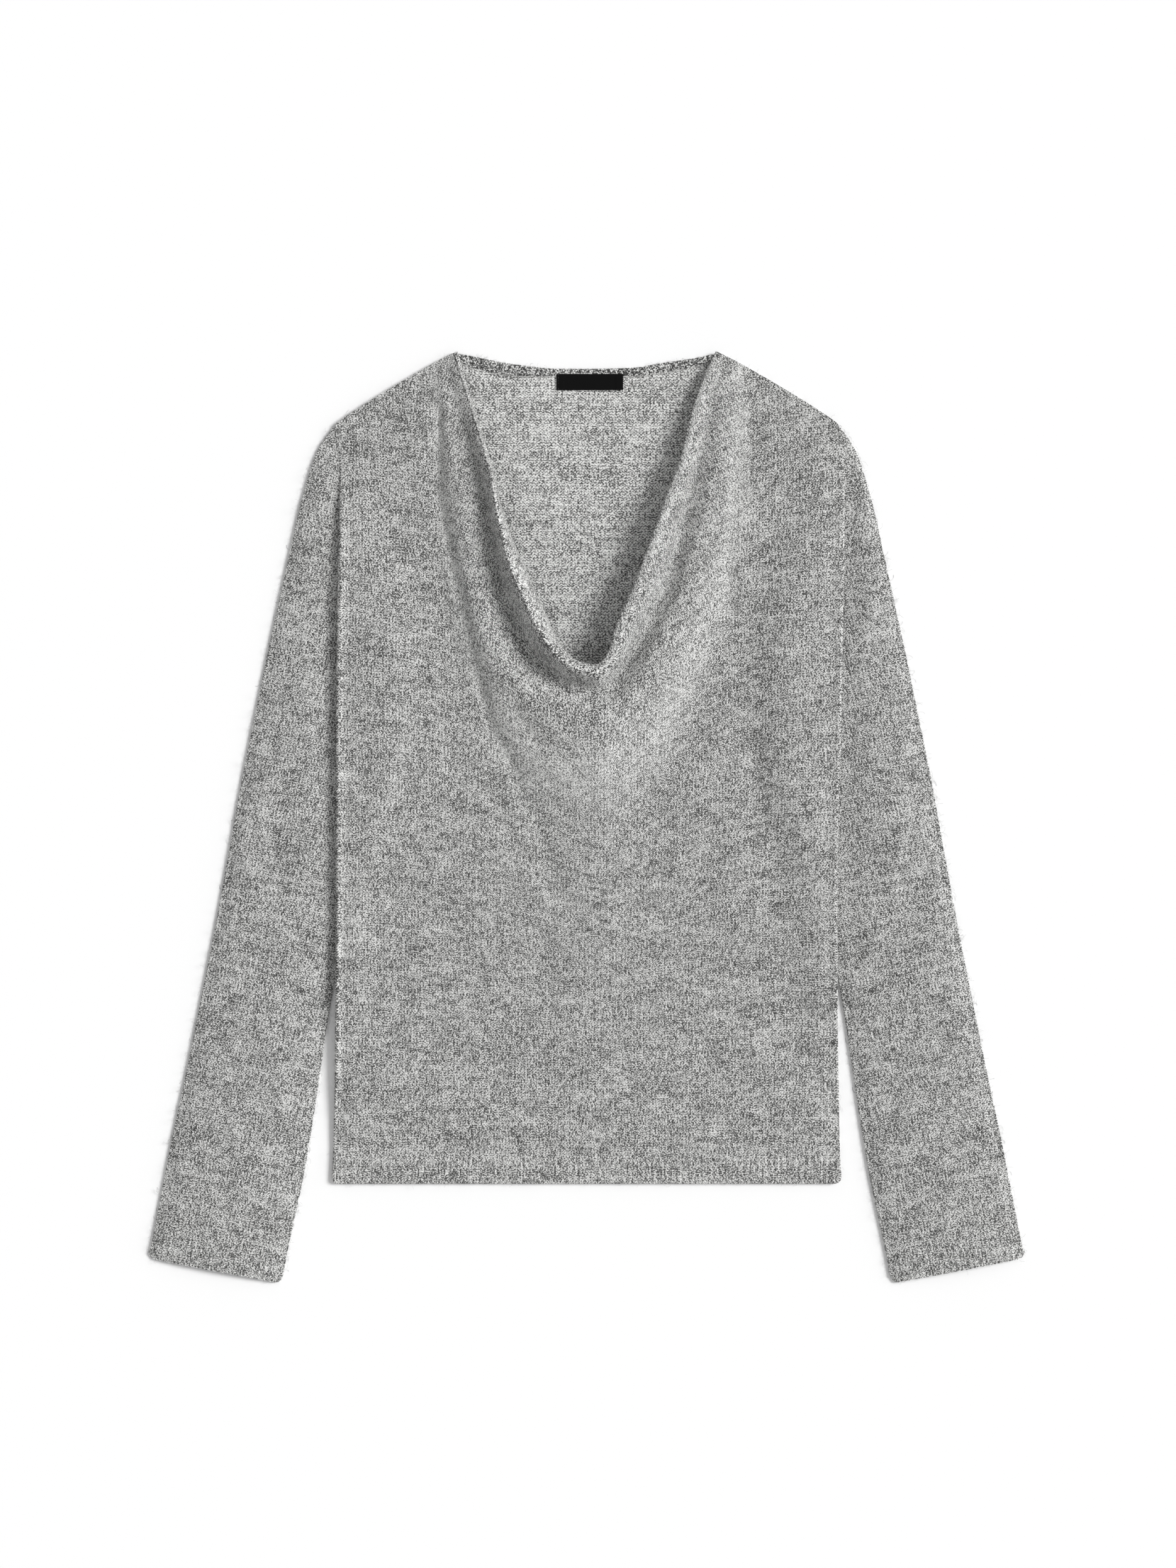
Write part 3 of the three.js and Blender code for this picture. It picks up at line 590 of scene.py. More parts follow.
def back_neck_band():
    """The narrow band along the back neck, swelling a little between its edges."""
    x = np.linspace(-NECK_X + BAND_INSET, NECK_X - BAND_INSET, BAND_COLUMNS)[:, None]
    share = steps_between(0, 3, 0.12, 6, 0.86, 4, 1)[None, :]
    width = back_neck["edgeY"](x) - back_neck["bandY"](x)
    y = back_neck["bandY"](x) + share * width
    wide_x = x * lerp(1, (NECK_X - BAND_TOP_INSET) / (NECK_X - BAND_INSET), share)
    swell = BAND_SWELL * np.sin(np.pi * np.clip(share, 0, 1)) ** 0.5
    half = WALL / 2
    keep = rounded((1 - share) * width, WALL)
    top = stacked(wide_x, y, half + (half + swell) * keep)
    under = stacked(wide_x, y, half - half * keep)
    knit = stacked(x / BAND_WALE, y / BAND_COURSE)
    fuzz = EDGE_FUZZ * off_label(wide_x, y)
    return wall_mesh("neck_band", top, under, {"knit": knit}, {"felt": (0, 0), "fuzz": (fuzz, 0)})


def corner_round(inset):
    """How far a rounded corner draws an edge in, inset millimetres from the piece's side."""
    into = np.maximum(CORNER - inset, 0)
    return CORNER - np.sqrt(np.maximum(CORNER * CORNER - into * into, 0))


def rib_wave(across):
    """Height of a 1 by 1 rib: narrow valleys between round ribs."""
    return RIB_HEIGHT * (abs(np.cos(np.pi * across / RIB_PITCH)) ** RIB_POINT)


def hem_rib(name, base, inset, ribs):
    """The front hem rib has raised ribs. The back one is plain, because it lies flat on the surface."""
    share = np.linspace(0, 1, RIBBED_COLUMNS if ribs else PLAIN_COLUMNS)[:, None]
    up = steps_between(0, 4, 0.06, 10, 1)[None, :]
    y = lerp(HEM_Y, HEM_TOP_Y, up)
    left, right = inset - side_x(-1, y), side_x(1, y) - inset
    x = lerp(left, right, share)
    from_side = np.minimum(x - left, right - x)
    y = y + corner_round(from_side) * (1 - up)
    keep = rounded(np.minimum(from_side + EDGE_START, y - HEM_Y + EDGE_START), WALL)
    wave = rib_wave(x) * smooth((1 - up) * 6) if ribs else 0 * x
    middle = base + WALL / 2
    top = stacked(x, y, middle + (WALL / 2 + wave) * keep)
    under = stacked(x, y, middle - WALL / 2 * keep)
    knit = stacked(x / WALE, y / COURSE)
    return wall_mesh(name, top, under, {"knit": knit}, {"felt": (0.25, 0.25), "fuzz": (1.2, 0)})


def turned_in(station):
    """0 up to the sleeve's head, and 1 where the head ends in the armhole."""
    return smooth((station - HEAD_STATION) / (LAST_STATION - HEAD_STATION))


def armhole(sign, share):
    """Where the sleeve's head ends: tucked into the body's edge, and under the body further down."""
    y = lerp(HEAD_START_Y, ARMPIT_Y, share)
    fold = smooth((FOLD_UNDER_Y - y) / (FOLD_UNDER_Y - ARMPIT_Y))
    return lerp(side_x(sign, y) - TUCK, ARMPIT_X, fold), y


def sleeve_place(sign, station, along):
    """A place on a sleeve's section, along millimetres in from its outer edge, and the width there."""
    outer_x, outer_y = sleeve["outerX"](station), sleeve["outerY"](station)
    inner_x, inner_y = sleeve["innerX"](station), sleeve["innerY"](station)
    width = np.hypot(inner_x - outer_x, inner_y - outer_y)
    share = along / width
    bow = sleeve["bow"](station) * 4 * share * (1 - share)
    clamped = np.clip(share, 0, 1)
    tip_x, end_x = armhole(sign, 0.0)[0], armhole(sign, 1.0)[0]
    met_x = armhole(sign, clamped)[0]
    past_edge = (sleeve["outerX"](LAST_STATION) - tip_x) * (1 - clamped) * smooth(clamped / TUCK_SHARE)
    tuck_in = past_edge * smooth((station - LAST_STATION + TUCK_STATIONS) / TUCK_STATIONS)
    x = lerp(outer_x, inner_x, share) - (inner_y - outer_y) / width * bow - tuck_in
    y = lerp(outer_y, inner_y, share) - abs(outer_x - inner_x) / width * bow
    return sign * (x + turned_in(station) * (met_x - lerp(tip_x, end_x, clamped))), y, width


def tube_section(width, inset, top_count):
    """A flattened tube's section: place across it, height from its middle, and 1 along its top."""
    half = FLAT_TUBE / 2
    radius = half - inset
    turn = np.linspace(0, math.pi, FOLD_POINTS)
    outward = np.sin(turn) ** FOLD_FULL
    rise = -np.cos(turn)
    rise = np.sign(rise) * abs(rise) ** FOLD_STEEP
    top_share = np.linspace(0, 1, top_count + 1)[1:-1]
    under_share = np.linspace(0, 1, SLEEVE_UNDER + 1)[1:-1]
    parts = (
        (half - radius * outward + 0 * width, radius * rise, 0),
        (lerp(half, width - half, top_share), radius, 1),
        (width - half + radius * outward, -radius * rise, 0),
        (lerp(width - half, half, under_share), -radius, 0),
    )
    along = np.concatenate([part[0] for part in parts], axis=1)
    height, on_top = (
        np.concatenate([np.broadcast_to(part[i], part[0].shape) for part in parts], axis=1)
        for i in (1, 2)
    )
    return along, height, on_top


def sleeve_section(sign, stations, inset, top_count, ribs):
    """Closed sections of a flattened sleeve, one for each station, inset from its outer face."""
    half = FLAT_TUBE / 2
    station = stations[:, None]
    turned = turned_in(station)
    width = sleeve_place(sign, station, 0.0)[2]
    along, height, on_top = tube_section(width, inset, top_count)
    x, y, _ = sleeve_place(sign, station, along)
    past_side = abs(x) - side_x(sign, y)
    from_fold = np.minimum(along, width - along)
    swell = SLEEVE_CROWN * np.sin(math.pi * np.clip(along / width, 0, 1))
    clear = smooth((past_side - CROWN_START) / CROWN_REACH)
    crown = (swell + fold_height(SLEEVE_FOLDS, x, y)) * clear * smooth(from_fold / EDGE_ROUND)
    if ribs:
        crown = crown + rib_wave(along) * smooth(from_fold / RIB_FADE)
    at_cuff_edge = 1 - smooth(station / CORNER_STATIONS)
    y = y + corner_round(np.maximum(from_fold, 0)) * at_cuff_edge
    free_edge = np.minimum(along, width - along + HEAD_CLEAR * turned)
    pressed = lerp(EDGE_PRESS, 1.0, smooth((free_edge - half) / EDGE_ROUND))
    pressed = pressed * lerp(EDGE_PRESS, 1.0, smooth(station / CUFF_PRESS_STATIONS))
    tucked = SEAM_STEP * (1 - smooth(past_side / SEAM_REACH)) * turned
    return stacked(x, y, (half + height) * pressed + on_top * (crown - tucked)), on_top


def sleeve_tube(name, sign, stations, top_count, ribs, felt):
    """A sleeve or cuff: an open flattened tube, knitted along the sleeve's own line."""
    outer, on_top = sleeve_section(sign, stations, 0.0, top_count, ribs)
    inner, _ = sleeve_section(sign, stations, WALL, top_count, False)
    outer, inner, on_top = (np.swapaxes(grid, 0, 1) for grid in (outer, inner, on_top))
    side_on = stacked(sign * outer[..., 0], outer[..., 1])
    courses = side_on @ np.array(SLEEVE_AXIS) / COURSE
    wales = side_on @ np.array([SLEEVE_AXIS[1], -SLEEVE_AXIS[0]]) / WALE
    knit = stacked(wales, courses)
    fuzz = np.where(outer[..., 2] > LOWEST_FUZZ, np.where(on_top > 0, 1.0, FOLD_FUZZ), 0.0)
    values = {"felt": (felt, felt), "fuzz": (fuzz, 0)}
    return wall_mesh(name, outer, inner, {"knit": knit}, values, ring=True)


def neck_label():
    x = np.linspace(LABEL_LEFT, LABEL_RIGHT, LABEL_COLUMNS)[:, None]
    y = np.linspace(LABEL_BOTTOM, LABEL_TOP, LABEL_ROWS)[None, :]
    across = smooth((x - LABEL_LEFT) / (LABEL_RIGHT - LABEL_LEFT))
    corner = across * (LABEL_TOP - y) / (LABEL_TOP - LABEL_BOTTOM)
    low = lift(x, y) + WALL + LAYER_GAP + LABEL_CURL * corner**2
    from_end = np.minimum(x - LABEL_LEFT, LABEL_RIGHT - x)
    from_edge = np.minimum(from_end, np.minimum(y - LABEL_BOTTOM, LABEL_TOP - y))
    turned_end = TURNED_RISE * (1 - smooth((from_end - TURNED_END) / TURNED_SOFT))
    wave = LABEL_WAVE * np.sin(x * WAVE_ACROSS + WAVE_SHIFT) * np.sin((y - LABEL_BOTTOM) * WAVE_UP)
    half = LABEL_WALL / 2
    keep = rounded(from_edge + EDGE_START, LABEL_WALL)
    top = stacked(x, y, low + half + (half + turned_end) * keep + wave)
    under = stacked(x, y, low + half - half * keep + np.maximum(wave, 0))
    return wall_mesh("woven_label", top, under, {"weave": stacked(x, y)}, {})


class Tree:
    """Adds nodes to a node tree. An input is a number, a vector or another node's output."""

    def __init__(self, tree):
        self.tree = tree

    def add(self, kind, inputs=None, **settings):
        node = self.tree.nodes.new(kind)
        for name, value in settings.items():
            setattr(node, name, value)
        for key, value in (inputs or {}).items():
            self.put(node.inputs[key], value)
        return node

    def put(self, socket, value):
        if isinstance(value, bpy.types.NodeSocket):
            self.tree.links.new(value, socket)
        elif value is not None:
            socket.default_value = value

    def math(self, operation, a, b=None, c=None):
        return self.add("ShaderNodeMath", {0: a, 1: b, 2: c}, operation=operation).outputs[0]

    def vector(self, operation, a, b):
        return self.add("ShaderNodeVectorMath", {0: a, 1: b}, operation=operation).outputs[0]

    def scaled(self, place, amount):
        return self.add("ShaderNodeVectorMath", {0: place, 3: amount}, operation="SCALE").outputs[0]

    def joined(self, x=0.0, y=0.0, z=0.0):
        return self.add("ShaderNodeCombineXYZ", {0: x, 1: y, 2: z}).outputs[0]

    def mix(self, share, a, b):
        """Goes from a to b, both numbers."""
        return self.add("ShaderNodeMix", {0: share, 2: a, 3: b}).outputs[0]

    def ramp(self, value, low, high, first=0.0, last=1.0):
        """Goes smoothly from first to last while value goes from low to high."""
        inputs = {0: value, 1: low, 2: high, 3: first, 4: last}
        return self.add("ShaderNodeMapRange", inputs, interpolation_type="SMOOTHSTEP").outputs[0]

    def noise(self, place, scale, detail, roughness=0.5, output="Fac"):
        inputs = {"Vector": place, "Scale": scale, "Detail": detail, "Roughness": roughness}
        return self.add("ShaderNodeTexNoise", inputs).outputs[output]

    def random(self, low, high, seed):
        inputs = {2: low, 3: high, "Seed": seed}
        return self.add("FunctionNodeRandomValue", inputs, data_type="FLOAT").outputs[1]

    def turned(self, rotation, by):
        inputs = {"Rotation": rotation, "Rotate By": by}
        return self.add("FunctionNodeRotateRotation", inputs, rotation_space="LOCAL").outputs[0]


def new_tree(name, kind, inputs, outputs):
    """A node tree with named sockets, each with its kind."""
    tree = bpy.data.node_groups.new(name, kind)
    for way, sockets in (("INPUT", inputs), ("OUTPUT", outputs)):
        for label, socket_kind in sockets.items():
            tree.interface.new_socket(label, in_out=way, socket_type="NodeSocket" + socket_kind)
    build = Tree(tree)
    return build, build.add("NodeGroupInput").outputs, build.add("NodeGroupOutput").inputs


def wandered(build, place, wander_scale, wander):
    """Wale and course numbers that stray softly, so that no row of stitches is quite straight."""
    colour = build.noise(place, wander_scale, 1.0, output="Color")
    shift = build.scaled(build.vector("SUBTRACT", colour, (0.5, 0.5, 0.5)), wander)
    axes = build.add("ShaderNodeSeparateXYZ", {0: build.vector("ADD", place, shift)})
    return axes.outputs["X"], axes.outputs["Y"]


def arch(build, rise, power):
    """Height along one stitch, from nothing at its ends to 1 in its middle."""
    along = build.math("SINE", build.math("MULTIPLY", build.math("FRACT", rise), math.pi))
    return build.math("POWER", build.math("MAXIMUM", along, 0.0), power)


def stitch_cell(build, wale, rise):
    """Two numbers that stay the same all over one leg of a stitch."""
    leg = build.math("FLOOR", build.math("MULTIPLY", wale, 2.0))
    return build.joined(leg, build.math("FLOOR", rise))


STITCH_OUTPUTS = {"Height": "Float", "Stitch": "Vector"}
LEG_SLANT = 2.2


def stockinette_group():
    """The knit's right side: two slanting legs to each stitch, with small gaps between them."""
    build, given, out = new_tree("stockinette", "ShaderNodeTree", {"Place": "Vector"}, STITCH_OUTPUTS)
    wale, course = wandered(build, given["Place"], 0.12, 1.1)
    off_centre = build.math("ABSOLUTE", build.math("SUBTRACT", build.math("FRACT", wale), 0.5))
    rise = build.math("SUBTRACT", course, build.math("MULTIPLY", off_centre, LEG_SLANT))
    hollow = build.ramp(off_centre, 0.0, 0.26, 1.0, 0.0)
    beat = build.math("COSINE", build.math("MULTIPLY", course, 2 * math.pi))
    hollow = build.math("MULTIPLY", hollow, build.math("MULTIPLY_ADD", beat, 0.4, 0.5))
    leg = build.math("MULTIPLY", arch(build, rise, 0.8), build.math("SUBTRACT", 1.0, hollow))
    edge = build.ramp(off_centre, 0.42, 0.5, 1.0, 0.8)
    build.put(out["Height"], build.math("MULTIPLY", leg, edge))
    build.put(out["Stitch"], stitch_cell(build, wale, rise))
    return build.tree


def purl_group():
    """The knit's wrong side: rows of small crescents."""
    build, given, out = new_tree("purl", "ShaderNodeTree", {"Place": "Vector"}, STITCH_OUTPUTS)
    wale, course = wandered(build, given["Place"], 0.2, 0.8)
    wave = build.math("COSINE", build.math("MULTIPLY", wale, 2 * math.pi))
    rise = build.math("MULTIPLY_ADD", wave, 0.24, course)
    crest = build.math("MULTIPLY_ADD", wave, 0.15, 0.85)
    build.put(out["Height"], build.math("MULTIPLY", arch(build, rise, 0.7), crest))
    build.put(out["Stitch"], stitch_cell(build, wale, rise))
    return build.tree


# Shades in the yarn: scale across and up, detail, roughness and weight of the darker streaks along
# the courses, the paler clouds and the flecks
SHADES = (
    (0.2, 0.5, 4.0, 0.7, -2.8),
    (0.06, 0.13, 3.0, 0.6, -1.5),
    (1.9, 2.7, 2.0, 0.6, 11.0),
)
STITCH_SHADE = 1.3
DARKEST = 0.1


def melange_group():
    """Heather yarn: streaks, clouds and flecks, and a different shade in each stitch."""
    inputs = {"Place": "Vector", "Stitch": "Vector", "Contrast": "Float"}
    build, given, out = new_tree("melange", "ShaderNodeTree", inputs, {"Shade": "Float"})
    shades = []
    for across, up, detail, roughness, weight in SHADES:
        place = build.vector("MULTIPLY", given["Place"], (across, up, 1.0))
        shades.append((build.noise(place, 1.0, detail, roughness), weight))
    single = build.add("ShaderNodeTexWhiteNoise", {"Vector": given["Stitch"]}, noise_dimensions="2D")
    shades.append((single.outputs["Value"], STITCH_SHADE))
    terms = [build.math("MULTIPLY_ADD", value, weight, -weight / 2) for value, weight in shades]
    shade = terms[0]
    for term in terms[1:]:
        shade = build.math("ADD", shade, term)
    shade = build.math("MULTIPLY_ADD", shade, given["Contrast"], 1.0)
    build.put(out["Shade"], build.math("MAXIMUM", shade, DARKEST))
    return build.tree


GROUPS = {"plain": stockinette_group(), "purl": purl_group(), "melange": melange_group()}

# The gap colour is painted shade: the dark seen in the holes between the stitches.
SHADED_GAP_COLOUR = (0.02, 0.02, 0.0195, 1.0)
YARN_COLOUR = (0.80, 0.80, 0.785, 1.0)
SHEEN_COLOUR = (0.85, 0.85, 0.84, 1.0)
STITCH_DEPTH = 0.45 * MM
MEAN_HEIGHT = 0.55
HAZE_SCALE, HAZE_MOST = 75.0, 0.35
FIBRE_SCALE, FIBRE_RELIEF = 1400.0, 0.35


def used(build, name, inputs):
    """A node group placed in a material."""
    node = build.add("ShaderNodeGroup", node_tree=GROUPS[name])
    for key, value in inputs.items():
        build.put(node.inputs[key], value)
    return node.outputs


def knit_surface(build, stitch, map_name, contrast):
    """Height and shade of the knit from one of the piece's maps."""
    place = build.add("ShaderNodeUVMap", uv_map=map_name).outputs[0]
    stitches = used(build, stitch, {"Place": place})
    inputs = {"Place": place, "Stitch": stitches["Stitch"], "Contrast": contrast}
    return stitches["Height"], used(build, "melange", inputs)["Shade"]


def knit_material(name, stitch="plain", tone=1.09, contrast=2.0, relief=1.45, with_cowl=False):
    """Brushed melange knit, with painted shade in the gaps between its stitches and its raised legs painted
    paler, times the yarn's own melange shade. Where it is felted or hazy, its stitches fade.
    """
    material = bpy.data.materials.new(name)
    material.use_nodes = True
    build = Tree(material.node_tree)
    build.tree.nodes.clear()
    height, shade = knit_surface(build, stitch, "knit", contrast)
    if with_cowl:
        share = build.add("ShaderNodeAttribute", attribute_name="cowl_share").outputs["Fac"]
        hung_height, hung_shade = knit_surface(build, stitch, "cowl", contrast)
        height = build.mix(share, height, hung_height)
        shade = build.mix(share, shade, hung_shade)
    felt = build.add("ShaderNodeAttribute", attribute_name="felt").outputs["Fac"]
    place = build.add("ShaderNodeTexCoord").outputs["Object"]
    haze = build.ramp(build.noise(place, HAZE_SCALE, 3.0, 0.6), 0.35, 0.7, 0.0, HAZE_MOST)
    height = build.mix(build.math("MAXIMUM", haze, felt), height, MEAN_HEIGHT)
    # Painted shade and light from the stitch relief: low places go towards the dark gap colour and raised
    # legs go paler, times the yarn's own melange shade.
    relief_shade_and_yarn = build.math("MULTIPLY", build.math("MULTIPLY_ADD", height, 0.9, -0.08), shade)
    colour = build.add("ShaderNodeMix", data_type="RGBA")
    build.put(colour.inputs[0], build.math("MULTIPLY", relief_shade_and_yarn, tone))
    build.put(colour.inputs[6], SHADED_GAP_COLOUR)
    build.put(colour.inputs[7], YARN_COLOUR)
    fibre = build.noise(place, FIBRE_SCALE, 2.0, 0.6)
    raised = build.math("MULTIPLY_ADD", fibre, FIBRE_RELIEF, height)
    bump = build.add(
        "ShaderNodeBump", {"Strength": 0.55 * relief, "Distance": STITCH_DEPTH, "Height": raised}
    )
    shader = build.add(
        "ShaderNodeBsdfPrincipled",
        {
            "Base Color": colour.outputs[2],
            "Roughness": 0.92,
            "Specular IOR Level": 0.15,
            "Sheen Weight": 0.25,
            "Sheen Roughness": 0.6,
            "Sheen Tint": SHEEN_COLOUR,
            "Normal": bump.outputs[0],
        },
    )
    output = build.add("ShaderNodeOutputMaterial")
    build.put(output.inputs["Surface"], shader.outputs[0])
    return material


def plain_material(name, colour, roughness, sheen=0.0):
    """One even colour, for what is too fine to show a pattern."""
    material = bpy.data.materials.new(name)
    material.use_nodes = True
    shader = material.node_tree.nodes["Principled BSDF"]
    shader.inputs["Base Color"].default_value = (*colour, 1.0)
    shader.inputs["Roughness"].default_value = roughness
    shader.inputs["Sheen Weight"].default_value = sheen
    return material


WARP_PITCH, WEFT_PITCH, WEAVE_DEPTH = 0.35, 0.5, 0.1 * MM
RIBBON_DARK, RIBBON_LIGHT = 0.002, 0.006


def label_material():
    """Black woven ribbon with fine cross ribs."""
    material = plain_material("black woven ribbon", (0.004, 0.004, 0.004), 0.8)
    build = Tree(material.node_tree)
    shader = material.node_tree.nodes["Principled BSDF"]
    place = build.add("ShaderNodeUVMap", uv_map="weave").outputs[0]
    axes = build.add("ShaderNodeSeparateXYZ", {0: place})
    warp = build.math("SINE", build.math("MULTIPLY", axes.outputs["X"], 2 * math.pi / WARP_PITCH))
    weft = build.math("SINE", build.math("MULTIPLY", axes.outputs["Y"], 2 * math.pi / WEFT_PITCH))
    weave = build.math("MULTIPLY", warp, weft)
    bump = build.add("ShaderNodeBump", {"Strength": 0.4, "Distance": WEAVE_DEPTH, "Height": weave})
    build.put(shader.inputs["Normal"], bump.outputs[0])
    tone = build.ramp(weave, -1.0, 1.0, RIBBON_DARK, RIBBON_LIGHT)
    colour = build.add("ShaderNodeCombineColor", {0: tone, 1: tone, 2: tone})
    build.put(shader.inputs["Base Color"], colour.outputs[0])
    shader.inputs["Specular IOR Level"].default_value = 0.08
    return material


KNIT = knit_material("brushed melange knit", tone=1.13)
COWL_KNIT = knit_material("brushed melange knit, front", with_cowl=True)
INSIDE_KNIT = knit_material("melange knit, purl side", stitch="purl", tone=1.32, contrast=1.2, relief=0.7)
HEM_KNIT = knit_material("melange hem rib", tone=1.08)
CUFF_KNIT = knit_material("melange cuff rib")
BAND_KNIT = knit_material("melange neck band", tone=0.6, contrast=2.4)
FIBRE = plain_material("mohair fibre", (0.52, 0.52, 0.51), 0.8, 0.3)
THREAD = plain_material("pale linking thread", (0.4, 0.4, 0.39), 0.8, 0.3)
BLACK_THREAD = plain_material("black sewing thread", (0.01, 0.01, 0.011), 0.5)


def geometry_tree(name, *sizes):
    """A Geometry Nodes tree with a geometry in and out, the named sizes, a seed and a material."""
    inputs = {"Geometry": "Geometry", **dict.fromkeys(sizes, "Float"), "Seed": "Int", "Material": "Material"}
    return new_tree(name, "GeometryNodeTree", inputs, {"Geometry": "Geometry"})


def copies(build, points, shape, rotation, scale):
    """A copy of a shape on each point, made real."""
    inputs = {"Points": points, "Instance": shape, "Rotation": rotation, "Scale": scale}
    placed = build.add("GeometryNodeInstanceOnPoints", inputs)
    return build.add("GeometryNodeRealizeInstances", {"Geometry": placed.outputs[0]}).outputs[0]


def dyed(build, geometry, material):
    inputs = {"Geometry": geometry, "Material": material}
    return build.add("GeometryNodeSetMaterial", inputs).outputs[0]


# A loose fibre starts below the cloth's face and bends over. Its bend and tip are shares of its length.
FIBRE_ROOT = (0.0, 0.0, -0.4 * MM)
FIBRE_BEND, FIBRE_TIP = (0.35, 0.22, 0.5), (1.0, 0.0, 0.22)
FIBRE_TILT = 0.5
FIBRE_SHORTEST, FIBRE_LONGEST = 0.45, 1.5


def fibre_tree():
    """Loose mohair fibres that stand out of the knit and bend over."""
    build, given, out = geometry_tree("mohair fibres", "Density", "Length", "Thickness")
    weight = build.add("GeometryNodeInputNamedAttribute", {"Name": "fuzz"}, data_type="FLOAT")
    density = build.math("MULTIPLY", given["Density"], weight.outputs[0])
    points = build.add(
        "GeometryNodeDistributePointsOnFaces",
        {"Mesh": given["Geometry"], "Density": density, "Seed": given["Seed"]},
    ).outputs
    bend = build.scaled(FIBRE_BEND, given["Length"])
    tip = build.scaled(FIBRE_TIP, given["Length"])
    line = build.add(
        "GeometryNodeCurveQuadraticBezier",
        {"Resolution": 3, "Start": FIBRE_ROOT, "Middle": bend, "End": tip},
    )
    section = build.add("GeometryNodeCurvePrimitiveCircle", {"Resolution": 3, "Radius": given["Thickness"]})
    hair = build.add(
        "GeometryNodeCurveToMesh",
        {"Curve": line.outputs[0], "Profile Curve": section.outputs[0], "Fill Caps": True},
    )
    least, most = (-FIBRE_TILT, -FIBRE_TILT, 0.0), (FIBRE_TILT, FIBRE_TILT, 2 * math.pi)
    spin = build.add(
        "FunctionNodeRandomValue",
        {"Min": least, "Max": most, "Seed": given["Seed"]},
        data_type="FLOAT_VECTOR",
    )
    rotation = build.turned(points["Rotation"], spin.outputs[0])
    size = build.random(FIBRE_SHORTEST, FIBRE_LONGEST, given["Seed"])
    fibres = copies(build, points["Points"], hair.outputs[0], rotation, size)
    build.put(out["Geometry"], dyed(build, fibres, given["Material"]))
    return build.tree


STITCH_WOBBLE = 0.18
STITCH_SMALLEST, STITCH_LARGEST = 0.8, 1.2


def stitch_tree():
    """A row of slanted stitches along a line, whose points carry the way out of the cloth."""
    build, given, out = geometry_tree("row of stitches", "Pitch", "Length", "Thickness", "Slant")
    line = build.add("GeometryNodeMeshToCurve", {"Mesh": given["Geometry"]})
    even = build.add("GeometryNodeResampleCurve", {"Curve": line.outputs[0]})
    even.mode = "LENGTH"
    build.put(even.inputs["Length"], given["Pitch"])
    out_way = build.add("GeometryNodeInputNamedAttribute", {"Name": "out"}, data_type="FLOAT_VECTOR")
    along = build.add("GeometryNodeInputTangent")
    upright = build.add("FunctionNodeAlignRotationToVector", {"Vector": out_way.outputs[0]}, axis="Z")
    on_line = build.add(
        "FunctionNodeAlignRotationToVector",
        {"Rotation": upright.outputs[0], "Vector": along.outputs[0]},
        axis="X",
        pivot_axis="Z",
    )
    wobble = build.random(-STITCH_WOBBLE, STITCH_WOBBLE, given["Seed"])
    slant = build.joined(z=build.math("ADD", given["Slant"], wobble))
    rotation = build.turned(on_line.outputs[0], slant)
    bead = build.add("GeometryNodeMeshUVSphere", {"Segments": 10, "Rings": 5, "Radius": 0.5})
    size = build.joined(given["Length"], given["Thickness"], given["Thickness"])
    stitch = build.add("GeometryNodeTransform", {"Geometry": bead.outputs[0], "Scale": size})
    growth = build.random(STITCH_SMALLEST, STITCH_LARGEST, given["Seed"])
    row = copies(build, even.outputs[0], stitch.outputs[0], rotation, growth)
    rounded_row = build.add("GeometryNodeSetShadeSmooth", {"Geometry": row})
    build.put(out["Geometry"], dyed(build, rounded_row.outputs[0], given["Material"]))
    return build.tree


def grown(name, source, tree, sizes):
    """Runs a Geometry Nodes tree on an object and keeps what it makes as a plain mesh."""
    holder = add_object(name + "_maker", source.data)
    modifier = holder.modifiers.new("maker", "NODES")
    modifier.node_group = tree
    for item in tree.interface.items_tree:
        if item.in_out == "INPUT" and item.name in sizes:
            modifier[item.identifier] = sizes[item.name]
    bpy.context.view_layer.update()
    evaluated = holder.evaluated_get(bpy.context.evaluated_depsgraph_get())
    mesh = bpy.data.meshes.new_from_object(evaluated)
    mesh.name = name
    bpy.data.objects.remove(holder)
    return add_object(name, mesh)


FIBRES = fibre_tree()
STITCHES = stitch_tree()
FIBRE_THICKNESS = 0.055
UP = (0.0, 0.0, 1.0)
LOWEST_FIBRE = 0.1


def fibres_on(piece, per_square_metre, seed, length=4.5):
    """Loose fibres on the upper side of a piece. None reaches into the floor."""
    sizes = {
        "Density": per_square_metre,
        "Length": length * MM,
        "Thickness": FIBRE_THICKNESS * MM,
        "Seed": seed,
        "Material": FIBRE,
    }
    fibres = grown("fibres_" + piece.name, piece, FIBRES, sizes)
    places = np.empty(3 * len(fibres.data.vertices))
    fibres.data.vertices.foreach_get("co", places)
    places[2::3] = np.maximum(places[2::3], LOWEST_FIBRE * MM)
    fibres.data.vertices.foreach_set("co", places)
    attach(fibres, "root")
    return fibres


def stitch_row(name, points, out, material, pitch, length, thickness, slant, seed):
    """Stitches along a line of points in millimetres."""
    mesh = bpy.data.meshes.new(name + "_line")
    edges = [(i, i + 1) for i in range(len(points) - 1)]
    mesh.from_pydata((points * MM).tolist(), edges, [])
    attribute = mesh.attributes.new("out", "FLOAT_VECTOR", "POINT")
    attribute.data.foreach_set("vector", np.broadcast_to(out, points.shape).astype(np.float32).ravel())
    line = bpy.data.objects.new(name + "_line", mesh)
    sizes = {
        "Pitch": pitch * MM,
        "Length": length * MM,
        "Thickness": thickness * MM,
        "Slant": slant,
        "Seed": seed,
        "Material": material,
    }
    piece = grown(name, line, STITCHES, sizes)
    bpy.data.objects.remove(line)
    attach(piece, "root")
    return piece


